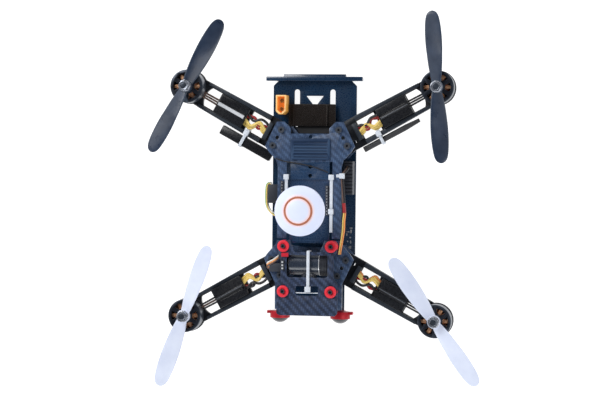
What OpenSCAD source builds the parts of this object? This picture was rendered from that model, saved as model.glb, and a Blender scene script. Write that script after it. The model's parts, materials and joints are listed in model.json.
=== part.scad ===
// Racing quadcopter: a flat body, four clamped arms that swing, four motors with two-blade
// propellers, a tilting camera under a damped plate and a mushroom antenna.
// +X is the right side, +Y is the tail, +Z is up. The origin is on the ground under the middle.

/* [Layout] */
// Distance between the left and right motor shafts
motor_span_x = 213; // [206:1:260]
// Distance between the front and rear motor shafts
motor_span_y = 195; // [190:1:240]
// Diameter of the propellers
prop_d = 127; // [100:1:128]
// Swing of each arm toward the waist, in degrees
arm_swing = 20; // [5:1:20]

/* [Base board] */
// Width of the base board beside the battery
board_w = 71.8; // [70:0.2:84]
// Width of the base board at the nose
board_nose_w = 54; // [46:0.5:60]
// Rear edge of the base board
board_rear_y = 103.2; // [101:0.2:130]
// Front edge of the base board
board_front_y = 96; // [94:0.5:120]
// Thickness of the base board
board_t = 1.6; // [1:0.1:3]
// Height of the landing pads
pad_h = 4; // [3:0.5:12]
// Side of each square landing pad
pad_w = 12; // [8:0.5:14]

/* [Clamp plates] */
// Thickness of the carbon plates
plate_t = 2; // [1.2:0.1:3]
// Gap between the base board and the lower clamp plates
lower_gap = 3; // [2.5:0.5:6]
// Gap between the top of the arms and the upper clamp plates
upper_gap = 14; // [13:0.5:24]
// Middle of an arm's clamp, from the centre line
clamp_x = 28; // [27:0.2:30]
// Middle of an arm's clamp, from the cross line
clamp_y = 54.6; // [53:0.2:58]
// Distance between an arm's fold screw and its lock screw
clamp_pitch = 15.1; // [13:0.1:16]
// Shank diameter of the screws
screw_d = 3; // [2:0.1:3.4]
// Head diameter of the clamp screws
screw_head_d = 5.4; // [4.6:0.1:6]
// Outer diameter of the spacer tubes
spacer_d = 5.6; // [4.6:0.1:6]
// Clearance of a screw in its hole, on the radius
hole_clear = 0.1; // [0.05:0.01:0.1]

/* [Arms] */
// Thickness of the arms
arm_t = 3.8; // [2.5:0.1:6]
// Width of an arm at its root
arm_root_w = 26; // [25:0.2:28]
// Width of an arm beside the motor
arm_tip_w = 23.4; // [22:0.2:25]
// Radius of the round motor pad
motor_pad_r = 14.5; // [13:0.1:16]
// Height of the side rails above the arm
rail_h = 2.6; // [1:0.1:4]
// Width of each side rail
rail_w = 2.6; // [1.8:0.1:3]
// Gap above and below an arm in its clamp
fold_clear = 0.1; // [0.05:0.01:0.2]
// Length of the speed controller in each arm
esc_l = 28; // [22:0.5:30]
// Height of the speed controller
esc_h = 5.6; // [3:0.1:7]

/* [Motors] */
// Diameter of the motor bell
bell_d = 28; // [26:0.2:33.6]
// Height of the motor bell
bell_h = 13.6; // [12:0.2:20]
// Diameter of the motor shaft in its bearing
shaft_d = 4; // [3:0.1:5]
// Diameter of the threaded propeller shaft
prop_shaft_d = 5; // [4:0.1:5]
// Running clearance of the shaft in its bearing, on the radius
shaft_clear = 0.05; // [0.01:0.01:0.1]
// Clearance between the bell and what stands inside it
bell_clear = 0.6; // [0.3:0.05:1]

/* [Propellers] */
// Diameter of the propeller hub
hub_d = 11; // [10:0.1:14]
// Height of the propeller hub
hub_h = 6.4; // [5:0.1:8]
// Widest chord of a blade
blade_chord = 15.2; // [9:0.1:16]
// Advance of the blade in one turn
blade_pitch = 76; // [60:1:130]
// Blade thickness at the root
blade_t = 2.2; // [1.2:0.1:3]

/* [Camera] */
// Diameter of the camera body
camera_d = 21; // [17.5:0.1:21]
// Length of the camera body
camera_l = 33; // [28:0.2:34]
// Height of the camera's tilt axis above the lower clamp plates
camera_rise = 16.4; // [16.4:0.1:17.4]
// Camera axis, from the cross line
camera_y = 51.4; // [50:0.2:52]
// Reach of the lens from the tilt axis
lens_reach = 14; // [12:0.1:14]
// Diameter of the lens barrel
lens_d = 11; // [8:0.2:12]
// Width of the camera plate
camera_plate_w = 51.5; // [50.5:0.1:56]
// Height of the rubber dampers under the camera plate
damper_h = 6.4; // [6:0.1:10]
// Diameter of the rubber dampers
damper_d = 10; // [8:0.1:10.2]

/* [Antenna] */
// Height of the antenna cap's rim above the top deck
mast_h = 50; // [30:1:90]
// Diameter of the antenna cap
cap_d = 41.2; // [30:0.2:48]
// Height of the antenna cap
cap_h = 13; // [10:0.5:20]
// Diameter of the copper ring in the cap
ring_d = 23.4; // [16:0.2:26]

/* [Battery bay] */
// Width of the hook-and-loop strap
strap_w = 19; // [14:0.5:24]
// Thickness of the strap
strap_t = 1.8; // [1:0.1:2.4]
// Width of the two strap slots
slot_w = 4.6; // [4.2:0.1:6]
// Distance between the two strap slots
slot_pitch = 30.7; // [28:0.1:34]

/* [Hidden] */
$fn = 48;
cut = 1;                                  // how far a cut runs past a face

// heights, from the ground up
board_z = pad_h;
board_top = board_z + board_t;
lower_z = board_top + lower_gap;
lower_top = lower_z + plate_t;
arm_z = lower_top + fold_clear;
arm_top = arm_z + arm_t;
upper_z = arm_top + fold_clear + upper_gap;
upper_top = upper_z + plate_t;
camera_plate_z = upper_top + damper_h;
camera_z = lower_top + camera_rise;

// the arm's own frame: +X runs from the clamp to the motor, +Y faces away from the waist
arm_dx = motor_span_x / 2 - clamp_x;
arm_dy = motor_span_y / 2 - clamp_y;
arm_angle = atan2(arm_dy, arm_dx);
arm_l = sqrt(arm_dx * arm_dx + arm_dy * arm_dy);
arm_inner = 9;                            // the root reaches this far inside the clamp's middle
root_end = 14.5;                          // the root block ends here
d_window_end = arm_l - motor_pad_r;       // the window beside the motor ends here
d_window_l = 13;
esc_x = d_window_end - d_window_l - esc_l - 0.5;
connector_x = 10;                         // the arm's plug board starts here
connector_l = 3.8;
pivot = [clamp_x - clamp_pitch / 2 * sin(arm_angle), clamp_y + clamp_pitch / 2 * cos(arm_angle)];
lock = [clamp_x + clamp_pitch / 2 * sin(arm_angle), clamp_y - clamp_pitch / 2 * cos(arm_angle)];

// fasteners
hole_r = screw_d / 2 + hole_clear;
head_h = 1.7;
nut_h = 2.4;

// motors
stator_base_h = 2.4;
bell_gap = 0.5;                           // gap between the stator's base and the bell
bell_z = arm_top + stator_base_h + bell_gap;
bell_top = bell_z + bell_h;
bell_wall = 1.4;
bell_cap_t = 2.2;
stator_r = bell_d / 2 - bell_wall - bell_clear;
washer_t = 0.7;
nut_af = 8;
prop_nut_h = 4.6;
fit_gap = 0.05;                           // between parts that turn together

// camera plate
camera_plate_rear = 31.5;
camera_plate_front = 94.5;
camera_notch_y = -41.2;                   // bottom of the notch in its rear edge
damper_x = 20.2;
damper_ys = [36.4, 74.3];
window_x = 17.4;
window_ys = [43.8, 62.4];
tie_w = 2.6;
tie_t = 1.2;

// battery bay
slot_ys = [board_rear_y - 38.9, board_rear_y - 7];
strap_y = board_rear_y - 38.6;
plug_l = 16.2;
plug_w = 8.6;
plug_h = 15.8;
battery_pad_t = 2.6;
plug_at = [-26.8, board_rear_y - 20.6];

// nose
light_x = 25.8;
light_r = 8.4;
light_z = board_top + light_r + 6;
bezel_l = 6;

// body parts under the deck
deck_z = upper_z - 1.2;
deck_w = 34;
deck_ys = [-31.6, 34.5];
rail_in = 19.4;
rail_out = 27.2;
antenna_at = [0.5, -5.7];
accessory_x = 0.5;
accessory_ys = [30.2, 22.7];              // two threaded-insert holes for accessories
fc_w = 36;
fc_z = lower_top + 8;

SIDES = [[-1, 1], [1, 1], [-1, -1], [1, -1]];   // rear left, rear right, front left, front right

// ---------------------------------------------------------------- helpers

// Puts what is drawn for the rear right corner at any corner
module at_corner(side) {
  mirror([side[0] < 0 ? 1 : 0, 0, 0]) mirror([0, side[1] < 0 ? 1 : 0, 0]) children();
}

// Puts what is drawn in the arm's own frame onto the rear right arm
module on_arm() {
  translate([clamp_x, clamp_y, 0]) rotate([0, 0, arm_angle]) children();
}

// Puts what is drawn at the motor onto the end of the rear right arm
module on_arm_end() {
  on_arm() translate([arm_l, 0, 0]) children();
}

module at_motor(side) {
  translate([side[0] * motor_span_x / 2, side[1] * motor_span_y / 2, 0]) children();
}

module box(low, high) {
  translate(low) cube(high - low);
}

module bar(at, size, height) {
  translate([at[0] - size[0] / 2, at[1] - size[1] / 2, at[2]]) cube([size[0], size[1], height]);
}

module plate(z, t) {
  translate([0, 0, z]) linear_extrude(height = t) children();
}

module hole(at, z, h, r = hole_r) {
  translate([at[0], at[1], z - cut]) cylinder(r = r, h = h + 2 * cut);
}

// A rectangle with its four corners rounded by arcs
module rounded(low, high, r) {
  union() {
    translate([low[0] + r, low[1]]) square([high[0] - low[0] - 2 * r, high[1] - low[1]]);
    translate([low[0], low[1] + r]) square([high[0] - low[0], high[1] - low[1] - 2 * r]);
    for (x = [low[0] + r, high[0] - r], y = [low[1] + r, high[1] - r])
      translate([x, y]) circle(r = r, $fn = 32);
  }
}

// A slot with round ends along Y
module slot_shape(x, y0, y1, w) {
  translate([x - w / 2, y0 + w / 2]) square([w, y1 - y0 - w]);
  for (y = [y0 + w / 2, y1 - w / 2]) translate([x, y]) circle(d = w, $fn = 32);
}

// Smooth points through hand-picked ones (Catmull-Rom), n steps a stretch
function spline_at(a, b, c, d, t) =
  0.5 * (2 * b + (c - a) * t + (2 * a - 5 * b + 4 * c - d) * t * t
         + (3 * b - a - 3 * c + d) * t * t * t);
function spline(p, n) = [
  for (i = [0:len(p) - 2], k = [0:n - 1])
    spline_at(p[max(i - 1, 0)], p[i], p[i + 1], p[min(i + 2, len(p) - 1)], k / n),
  p[len(p) - 1]
];
function unit(v) = v / norm(v);

// A wire: a ring of eight points at each route point, square to the route
module wire(route, d, n = 4) {
  p = spline(route, n);
  last = len(p) - 1;
  sides = 8;
  ahead = [for (i = [0:last]) unit(p[min(i + 1, last)] - p[max(i - 1, 0)])];
  across = [for (a = ahead) unit(cross(a, abs(a[2]) > 0.8 ? [0, 1, 0] : [0, 0, 1]))];
  rings = [for (i = [0:last], k = [0:sides - 1])
    let (u = cross(across[i], ahead[i]), q = 360 * k / sides)
    p[i] + d / 2 * (cos(q) * across[i] + sin(q) * u)];
  walls = [for (i = [0:last - 1], k = [0:sides - 1])
    let (a = i * sides + k, b = i * sides + (k + 1) % sides) [a, b, b + sides, a + sides]];
  ends = [[for (k = [sides - 1:-1:0]) k], [for (k = [0:sides - 1]) last * sides + k]];
  polyhedron(points = rings, faces = concat(walls, ends), convexity = 6);
}

// ---------------------------------------------------------------- body

module board_outline() {
  w = board_w / 2;
  n = board_nose_w / 2;
  c = 4;                                  // corner cut at the tail
  shoulder = [-44, -58];
  polygon([
    [-w, shoulder[0]], [-w, board_rear_y - c], [-w + c, board_rear_y], [w - c, board_rear_y],
    [w, board_rear_y - c], [w, shoulder[0]], [n, shoulder[1]], [n, -board_front_y],
    [-n, -board_front_y], [-n, shoulder[1]]
  ]);
}

// The window in front of the tail, wide at the rear
module board_window() {
  y = board_rear_y - 12.6;
  polygon([[-7.4, y], [7.4, y], [1.8, y - 7.2], [-1.8, y - 7.2]]);
}

module base_board() {
  color("midnightblue") difference() {
    plate(board_z, board_t) difference() {
      board_outline();
      board_window();
      for (s = [-1, 1]) slot_shape(s * slot_pitch / 2, slot_ys[0], slot_ys[1], slot_w);
    }
    for (side = SIDES) at_corner(side)
      for (p = [pivot, lock]) hole(p, board_z, board_t);
  }
  // voltage regulators on the board, under the deck
  color("black") for (x = [-9, 9]) bar([x, -24, board_top], [8, 6, 0], 2);
}

module rubber_pads() {
  tail_x = board_w / 2 - pad_w / 2 - 2;
  nose_x = board_nose_w / 2 - pad_w / 2 - 1;
  spots = [
    [-tail_x, board_rear_y - pad_w], [tail_x, board_rear_y - pad_w], [0, 0],
    [-nose_x, pad_w - board_front_y], [nose_x, pad_w - board_front_y]
  ];
  color("dimgray") for (p = spots) plate(0, pad_h)
    translate(p) rounded([-pad_w / 2, -pad_w / 2], [pad_w / 2, pad_w / 2], 2);
  // the battery's pad lies between the legs of the strap
  half = slot_pitch / 2 - strap_t / 2 - 0.25;
  color("dimgray") box([-half, strap_y - 5.8, board_top],
                       [half, strap_y + strap_w, board_top + battery_pad_t]);
}

// A right-hand outline with its mirror image, as one closed outline
function both_sides(p) = concat(p, [for (i = [len(p) - 1:-1:0]) [-p[i][0], p[i][1]]]);

module wing_holes(z, t) {
  for (p = [pivot, [clamp_x, clamp_y], lock]) hole(p, z, t);
}

module lower_clamp_plates() {
  color("darkslategray") for (y = [0, 1]) mirror([0, y, 0]) difference() {
    plate(lower_z, plate_t) polygon(both_sides([
      [9, 38], [28.6, 35.6], [38.3, 47.4], [30.2, 64.2], [18, 64.2], [9, 54]
    ]));
    for (x = [0, 1]) mirror([x, 0, 0]) wing_holes(lower_z, plate_t);
  }
}

module rear_clamp_plate() {
  rail_end = -30;
  color("slategray") difference() {
    plate(upper_z, plate_t) polygon(both_sides([
      [rail_in, 34.5], [rail_in, rail_end], [rail_out, rail_end], [rail_out, 30], [28.6, 35.6],
      [35, 42.6], [38.3, 47.4], [28.4, 68], [21.8, 68], [16.4, 62.6], [16.4, 58]
    ]));
    for (x = [0, 1]) mirror([x, 0, 0]) wing_holes(upper_z, plate_t);
    hole([accessory_x, 55.4], upper_z, plate_t);
  }
}

module front_clamp_plate() {
  bar_y = [82, 90];
  tab = damper_x - damper_d / 2;          // the plate reaches in under each damper
  color("slategray") mirror([0, 1, 0]) difference() {
    plate(upper_z, plate_t) polygon(both_sides([
      [rail_in, bar_y[0]], [rail_in, 79], [tab, 79], [tab, 69.6], [rail_in, 69.6], [rail_in, 40.4],
      [tab, 40.4], [tab, 32], [rail_out, 32], [28.6, 35.6], [35, 42.6], [38.3, 47.4], [28.6, 68],
      [28.6, bar_y[1]]
    ]));
    for (x = [0, 1]) mirror([x, 0, 0]) wing_holes(upper_z, plate_t);
    for (x = [-damper_x, damper_x], y = damper_ys) hole([x, y], upper_z, plate_t);
  }
}

module clamp_spacers() {
  h = upper_z - arm_top - fold_clear;
  lower_h = lower_z - board_top;
  color("dimgray") for (side = SIDES) at_corner(side) for (p = [pivot, lock]) {
    translate([p[0], p[1], arm_top + fold_clear]) difference() {
      cylinder(d = spacer_d, h = h);
      translate([0, 0, -cut]) cylinder(r = hole_r, h = h + 2 * cut);
    }
    translate([p[0], p[1], board_top]) difference() {
      cylinder(d = spacer_d, h = lower_h);
      translate([0, 0, -cut]) cylinder(r = hole_r, h = lower_h + 2 * cut);
    }
  }
}

// A button-head screw whose head stands on z, with a shank that reaches down
module screw(z, reach, head_d) {
  difference() {
    union() {
      translate([0, 0, z - reach]) cylinder(d = screw_d, h = reach);
      translate([0, 0, z]) cylinder(d = head_d, h = head_h);
    }
    translate([0, 0, z + head_h - 0.9]) cylinder(r = 1.1, h = cut, $fn = 6);
  }
}

module lock_nut(z) {
  translate([0, 0, z]) difference() {
    cylinder(r = 3.1, h = nut_h, $fn = 6);
    translate([0, 0, -cut]) cylinder(d = screw_d, h = nut_h + 2 * cut);
  }
}

module screws() {
  color("black") {
    for (side = SIDES) at_corner(side) for (p = [pivot, lock]) translate([p[0], p[1], 0]) {
      screw(upper_top, upper_top - board_z + nut_h, screw_head_d);
      lock_nut(board_z - nut_h);
    }
    for (x = [-damper_x, damper_x], y = damper_ys) translate([x, -y, 0])
      screw(camera_plate_z + plate_t + 2, camera_plate_z + plate_t + 2 - upper_z, 3.4);
    camera_pivots();
  }
}

module centre_deck() {
  step_y = 22.5;
  color("darkslateblue") difference() {
    union() {
      plate(deck_z, 1.6) translate([-deck_w / 2, deck_ys[0]])
        square([deck_w, step_y - deck_ys[0]]);
      plate(deck_z, 1.6) translate([2.4 - deck_w / 2, deck_ys[0] - 2.4])
        square([deck_w - 4.8, 2.6]);
      plate(deck_z, upper_top - deck_z) translate([-16.2, step_y - 3])
        square([33.2, 34.5 - step_y + 3]);
    }
    for (y = accessory_ys) hole([accessory_x, y], deck_z, upper_top - deck_z);
    hole(antenna_at, deck_z, 1.6, 3.2);
  }
}

module centre_cover() {
  y0 = 36;
  y1 = 54;
  groove = 0.8;
  pitch = 2.5;
  color("slategray") difference() {
    plate(upper_top, 1.4) rounded([-16, y0], [17.4, y1], 1.5);
    for (k = [0:5]) box([-13.4, y0 + 2 + k * pitch, upper_top + 0.8],
                        [14.8, y0 + 2 + k * pitch + groove, upper_top + 1.4 + cut]);
  }
}

module flight_controller() {
  r = 15.25;
  color("midnightblue") translate([0, 3, 0]) difference() {
    plate(fc_z, 1.6) rounded([-fc_w / 2, -fc_w / 2], [fc_w / 2, fc_w / 2], 2);
    for (x = [-r, r], y = [-r, r]) hole([x, y], fc_z, 1.6, 1.6);
  }
  // posts under the board and from the board to the deck
  color("black") translate([0, 3, 0]) for (x = [-r, r], y = [-r, r]) {
    translate([x, y, board_top]) cylinder(r = 2.5, h = fc_z - board_top);
    translate([x, y, fc_z + 1.6]) cylinder(r = 2.5, h = deck_z - fc_z - 1.6);
  }
  color("black") translate([0, 3, 0]) {
    bar([0, 0, fc_z + 1.6], [7, 7, 0], 1.2);
    bar([-9, 6, fc_z + 1.6], [4, 4, 0], 1);
  }
}

// ---------------------------------------------------------------- tail and battery bay

module tail_board() {
  half = 41.3;
  bar_t = 3.6;
  color("midnightblue") box([-half, board_rear_y, board_z], [half, board_rear_y + bar_t, 12]);
  color("black") box([-26.7, board_rear_y + bar_t, board_z], [26.7, board_rear_y + 5.8, 9]);
}

// The plug's outline: square at the tail end, two corners cut at the other
module plug_outline(wall) {
  x = plug_w / 2 - wall;
  y = plug_l / 2 - wall;
  c = 2.6;
  polygon([[-x, y], [x, y], [x, c - y], [x - c, -y], [c - x, -y], [-x, c - y]]);
}

module power_plug() {
  depth = 10;
  color("orange") translate([plug_at[0], plug_at[1], 0]) difference() {
    plate(board_top, plug_h) plug_outline(0);
    plate(board_top + plug_h - depth, depth + cut) plug_outline(1.1);
    for (y = [-3.6, 3.6]) translate([0, y, board_top + 1]) cylinder(r = 1.75, h = plug_h);
  }
}

module power_contacts() {
  color("gold") translate([plug_at[0], plug_at[1], board_top + 1]) for (y = [-3.6, 3.6])
    translate([0, y, 0]) difference() {
      cylinder(r = 1.75, h = 9);
      translate([0, 0, 5]) cylinder(r = 0.9, h = 9);
    }
}

module battery_strap() {
  low = board_z - strap_t;
  top = board_top + battery_pad_t;
  leg = slot_pitch / 2;
  color("saddlebrown") translate([0, strap_y + strap_w, 0]) rotate([90, 0, 0])
    linear_extrude(height = strap_w) {
      translate([-leg - strap_t / 2, low]) square([2 * leg + strap_t, strap_t]);
      for (s = [-1, 1]) translate([s * leg - strap_t / 2, low]) square([strap_t, top - low + 1]);
      translate([-22.1, top]) square([40.6, strap_t]);
      translate([-18.4, top + strap_t]) square([30.1, strap_t]);
    }
}

// ---------------------------------------------------------------- nose and camera

module camera_plate_outline() {
  w = camera_plate_w / 2;
  rear = -camera_plate_rear;
  front = -camera_plate_front;
  step = 3.3;                             // the plate is this much narrower beside the window
  notch = camera_notch_y;
  polygon([
    [-w, front + 2], [2 - w, front], [w - 2, front], [w, front + 2], [w, -67], [w - step, -63],
    [w - step, -44.5], [w - 1, -41.5], [w - 1, rear - 2.5], [w - 3.5, rear], [14.8, rear],
    [10.6, notch], [-10.6, notch], [-14.8, rear], [3.5 - w, rear], [1 - w, rear - 2.5],
    [1 - w, -41.5], [step - w, -44.5], [step - w, -63], [-w, -67]
  ]);
}

module camera_plate() {
  color("darkslategray") difference() {
    plate(camera_plate_z, plate_t) difference() {
      camera_plate_outline();
      rounded([-window_x, -window_ys[1]], [window_x, -window_ys[0]], 2);
      rounded([-9.6, -77.6], [9.6, -69.6], 1.5);
    }
    for (x = [-damper_x, damper_x], y = damper_ys)
      hole([x, -y], camera_plate_z, plate_t, damper_d / 2 - 1.5);
  }
}

module camera_dampers() {
  neck = damper_d / 2 - 1.6;
  color("crimson") for (x = [-damper_x, damper_x], y = damper_ys) translate([x, -y, 0])
    difference() {
      union() {
        translate([0, 0, upper_top]) cylinder(d = damper_d, h = damper_h);
        translate([0, 0, upper_top]) cylinder(r = neck, h = damper_h + plate_t + 2);
        translate([0, 0, camera_plate_z + plate_t]) cylinder(d = damper_d, h = 2);
      }
      translate([0, 0, upper_top - cut])
        cylinder(r = hole_r, h = damper_h + plate_t + 2 + 2 * cut);
    }
}

pivot_r = 1;                              // the camera's pivot screws
cheek_x = camera_l / 2 + 0.5;
cheek_t = 1.8;

// A cradle that hangs from the front clamp plate and holds the camera by its two pivots
module camera_bracket() {
  low = camera_z - camera_d / 2 - 1.5;
  ys = [-camera_y - 5, -camera_y + 5];
  flange = 3.2;
  color("black") difference() {
    union() {
      for (s = [0, 1]) mirror([s, 0, 0]) {
        box([cheek_x, ys[0], low], [cheek_x + cheek_t, ys[1], upper_z]);
        translate([cheek_x, -camera_y, camera_z]) rotate([0, 90, 0]) cylinder(r = 3.4, h = cheek_t);
        box([cheek_x, ys[0], upper_z - 1.4], [cheek_x + cheek_t + flange, ys[1], upper_z]);
      }
      box([-cheek_x - cheek_t, ys[0] + 1, low], [cheek_x + cheek_t, ys[1] - 1, low + 1.1]);
    }
    translate([-cheek_x - 2 * cheek_t, -camera_y, camera_z]) rotate([0, 90, 0])
      cylinder(r = pivot_r + fit_gap, h = 2 * cheek_x + 4 * cheek_t);
    // the flange is cut away round the pivot's head
    for (s = [0, 1]) mirror([s, 0, 0])
      box([cheek_x + cheek_t, -camera_y - 2.4, camera_z - 2.4],
          [cheek_x + cheek_t + flange + cut, -camera_y + 2.4, upper_z + cut]);
  }
}

// Puts what is drawn at the tilt axis in its place, with +Y turned to the nose
module at_camera() {
  translate([0, -camera_y, camera_z]) rotate([0, 0, 180]) children();
}

module camera_body() {
  socket = lens_reach - 1.6;
  color("black") at_camera() difference() {
    union() {
      rotate([0, 90, 0]) translate([0, 0, -camera_l / 2]) cylinder(d = camera_d, h = camera_l);
      rotate([-90, 0, 0]) cylinder(d = lens_d + 2, h = socket);
    }
    // ribs round the focus ring
    for (k = [0:2]) translate([-camera_l / 2 + 1.6 + 2 * k, 0, 0]) rotate([0, 90, 0])
      difference() {
        cylinder(d = camera_d + 2, h = 0.9);
        translate([0, 0, -cut]) cylinder(d = camera_d - 1, h = 0.9 + 2 * cut);
      }
    translate([0, lens_reach - 7, 0]) rotate([-90, 0, 0]) cylinder(d = lens_d, h = 8);
    for (s = [-1, 1]) translate([s * camera_l / 2 - 4, 0, 0]) rotate([0, 90, 0])
      cylinder(r = pivot_r + fit_gap, h = 8);
  }
}

module camera_lens() {
  r = lens_d / 2 - fit_gap;
  color("dimgray") at_camera() rotate([-90, 0, 0]) difference() {
    translate([0, 0, lens_reach - 7]) cylinder(r = r, h = 7);
    translate([0, 0, lens_reach - 1.2]) cylinder(r = r - 1, h = 2);
  }
}

module camera_pivots() {
  for (s = [0, 1]) mirror([s, 0, 0]) translate([0, -camera_y, camera_z]) rotate([0, 90, 0]) {
    translate([0, 0, camera_l / 2 - 3])
      cylinder(r = pivot_r, h = cheek_x - camera_l / 2 + 3 + cheek_t);
    translate([0, 0, cheek_x + cheek_t]) cylinder(r = 1.8, h = 0.5);
  }
}

// Puts what is drawn along +Z at a headlight, looking to the nose
module at_light(s, y) {
  translate([s * light_x, -y, light_z]) rotate([90, 0, 0]) children();
}

bezel_y = board_front_y - 4.2;

module headlight_bezels() {
  color("crimson") for (s = [-1, 1]) {
    at_light(s, bezel_y) difference() {
      cylinder(r = light_r, h = bezel_l);
      translate([0, 0, 1.6]) cylinder(r = light_r - 0.8, h = bezel_l);
    }
    mirror([s < 0 ? 1 : 0, 0, 0]) translate([light_x + light_r, 0, 0])
      box([-0.6, -bezel_y - 2.4, light_z - 3], [2.4, -bezel_y, light_z + 3]);
    translate([s * light_x, 0, 0])
      box([-3, -bezel_y - 1.6, board_top], [3, -bezel_y, light_z - light_r + 0.6]);
  }
}

module headlight_domes() {
  r = light_r - 0.85;
  dome_r = r - 0.2;                       // a narrow shoulder stands round the dome
  rise = 4.2;
  ball = (dome_r * dome_r + rise * rise) / (2 * rise);
  color("dimgray") for (s = [-1, 1]) at_light(s, bezel_y + 1.6) {
    cylinder(r = r, h = bezel_l - 1.6);
    translate([0, 0, bezel_l - 1.6]) intersection() {
      translate([0, 0, rise - ball]) sphere(r = ball);
      cylinder(r = r + cut, h = rise + cut);
    }
  }
}

// ---------------------------------------------------------------- antenna and radio

cap_rim = 4;                              // height of the cap's straight rim
deck_top = deck_z + 1.6;
cap_z = deck_top + mast_h;

module antenna_mast() {
  color("silver") translate([antenna_at[0], antenna_at[1], 0]) {
    translate([0, 0, deck_z - 5]) cylinder(r = 3, h = 15);
    translate([0, 0, deck_top]) cylinder(r = 4.2, h = 2.2, $fn = 6);
    translate([0, 0, deck_top + 3]) cylinder(r = 3.8, h = 7);
    translate([0, 0, deck_top + 10]) cylinder(r = 1.9, h = mast_h - 4.5);
  }
}

function dome_ball(rise) = (cap_d * cap_d / 4 + rise * rise) / (2 * rise);

module antenna_cap() {
  rise = cap_h - cap_rim;
  ball = dome_ball(rise);
  groove_z = cap_rim + rise - ball + sqrt(ball * ball - ring_d * ring_d / 4) - 0.9;
  color("lavender") translate([antenna_at[0], antenna_at[1], cap_z]) difference() {
    union() {
      cylinder(d = cap_d, h = cap_rim);
      intersection() {
        translate([0, 0, cap_rim + rise - ball]) sphere(r = ball);
        cylinder(d = cap_d, h = cap_h + cut);
      }
    }
    translate([0, 0, -cut]) cylinder(r = 1.95, h = cut + 6);
    translate([0, 0, groove_z]) difference() {
      cylinder(d = ring_d, h = cap_h);
      translate([0, 0, -cut]) cylinder(d = ring_d - 3, h = cap_h + 2 * cut);
    }
  }
}

module antenna_ring() {
  rise = cap_h - cap_rim;
  ball = dome_ball(rise);
  groove_z = cap_rim + rise - ball + sqrt(ball * ball - ring_d * ring_d / 4) - 0.9;
  color("peru") translate([antenna_at[0], antenna_at[1], cap_z + groove_z]) difference() {
    cylinder(r = ring_d / 2 - 0.02, h = 1.1);
    translate([0, 0, -cut]) cylinder(r = ring_d / 2 - 1.48, h = 1.1 + 2 * cut);
  }
}

module video_transmitter() {
  x = board_w / 2 - 8.4;
  top = lower_top + 9.4;
  color("black") difference() {
    box([x, 7, board_top], [x + 7.5, 35.2, top]);
    for (k = [0:8]) box([x - cut, 9 + 3 * k, top - 1], [x + 7.5 + cut, 9.9 + 3 * k, top + cut]);
  }
}

// A tie that lies flat: a strap from one end to the other and a square head
module tie(head, reach) {
  w = 4.4;
  bar([head[0], head[1], head[2]], [w, w, 0], 3);
  box([min(head[0], head[0] + reach[0]) - (reach[0] == 0 ? tie_w / 2 : 0),
       min(head[1], head[1] + reach[1]) - (reach[1] == 0 ? tie_w / 2 : 0), head[2]],
      [max(head[0], head[0] + reach[0]) + (reach[0] == 0 ? tie_w / 2 : 0),
       max(head[1], head[1] + reach[1]) + (reach[1] == 0 ? tie_w / 2 : 0), head[2] + tie_t]);
}

module cable_ties() {
  color("white") {
    tie([-19.6, 21.6, upper_top], [0, -30]);
    tie([18.7, 21.6, upper_top], [0, -26.5]);
    tie([18.7, -7.2, upper_top], [0, -17.6]);
    tie([27.8, 22.8, upper_top], [-5, 0]);
    // the camera's tie: over the body, down behind it and down through the front slot
    z = camera_plate_z + plate_t;
    y = camera_notch_y;
    x = 1;
    box([x - tie_w / 2, -70, z], [x + tie_w / 2, y + 0.1, z + tie_t]);
    box([x - tie_w / 2, y, z - 8], [x + tie_w / 2, y + tie_t, z + tie_t]);
    box([x - tie_w / 2, -71.2, z - 5], [x + tie_w / 2, -70, z + tie_t]);
    box([x - 2.4, -74.6, z], [x + 2.4, -70, z + 3.2]);
    box([-9.6, -75.9, z - 2], [9.6, -75, z - 0.6]);
  }
}

// ---------------------------------------------------------------- plugs and leads on the body

servo_plug_at = [-25.5, -54.7];
side_plug_x = board_w / 2 - 2.4;

module body_connectors() {
  color("black") {
    box([-side_plug_x - 5, -1, board_top], [-side_plug_x + 4.4, 14.8, 15]);
    bar([servo_plug_at[0], servo_plug_at[1], upper_top], [15, 7, 0], 3.4);
    bar([-22, -45, upper_top], [6.6, 5.4, 0], 3.4);
    bar([-20.6, -52.4, camera_plate_z + plate_t], [3, 8.4, 0], 1.6);
    bar([-18.6, -43.6, camera_plate_z + plate_t], [6, 3.4, 0], 2);
    bar([15, 2, deck_top], [2.5, 25, 0], 2.4);
    bar([-23.1, 5.6, upper_top], [2.5, 25, 0], 1.6);
  }
}

// routes of the leads that the body holds, picked by hand; the last three are measured from
// the top of the clamp plates, which they lie on
side_loop = [
  [-36.4, 14, 12], [-37.4, 16.2, 12.2], [-39.4, 14, 12.6], [-39.9, 6, 13], [-39.5, -1, 13.6],
  [-37.6, -6, 14.6], [-33.4, -10, 16.6], [-26, -12.4, 18.4], [-17.4, -12, 19.4]
];
right_run = [
  [30.6, 31, -12], [30.2, 28, -4], [28.6, 25, 0.6], [27.3, 20.2, 1.2], [28.2, 9, 1.2],
  [28.9, -1, 1.2], [29.6, -8, 1.3], [29, -15, 1.3], [28.8, -22.5, 1.3], [27.4, -32, 1.3],
  [26.4, -38, 1.2], [25.6, -43, 0.9]
];
servo_run = [
  [-30.5, -54.6, 1.7], [-34, -54.4, 2.2], [-34.6, -52.2, 3], [-30.6, -50, 3.6], [-27.6, -48, 3.4],
  [-24.8, -45.6, 2.2]
];
aerial = [[-29, 37, 0.6], [-20, 34.4, 1], [-8, 32.6, 0.8], [4, 30, 0.8], [16, 25.6, 1]];

module body_leads() {
  color("khaki") {
    for (k = [-1:1]) wire([for (p = side_loop) p + [0, 0, 1.3 * k]], 1.2, 3);
    for (k = [0, 1]) wire([for (p = right_run) p + [1.5 * k, 0, upper_top]], 1.3, 2);
    for (k = [-1:1]) wire([for (p = servo_run) p + [0, 1.3 * k, upper_top]], 1.1, 3);
    wire([for (p = aerial) p + [0, 0, upper_top]], 1, 3);
  }
}

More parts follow.
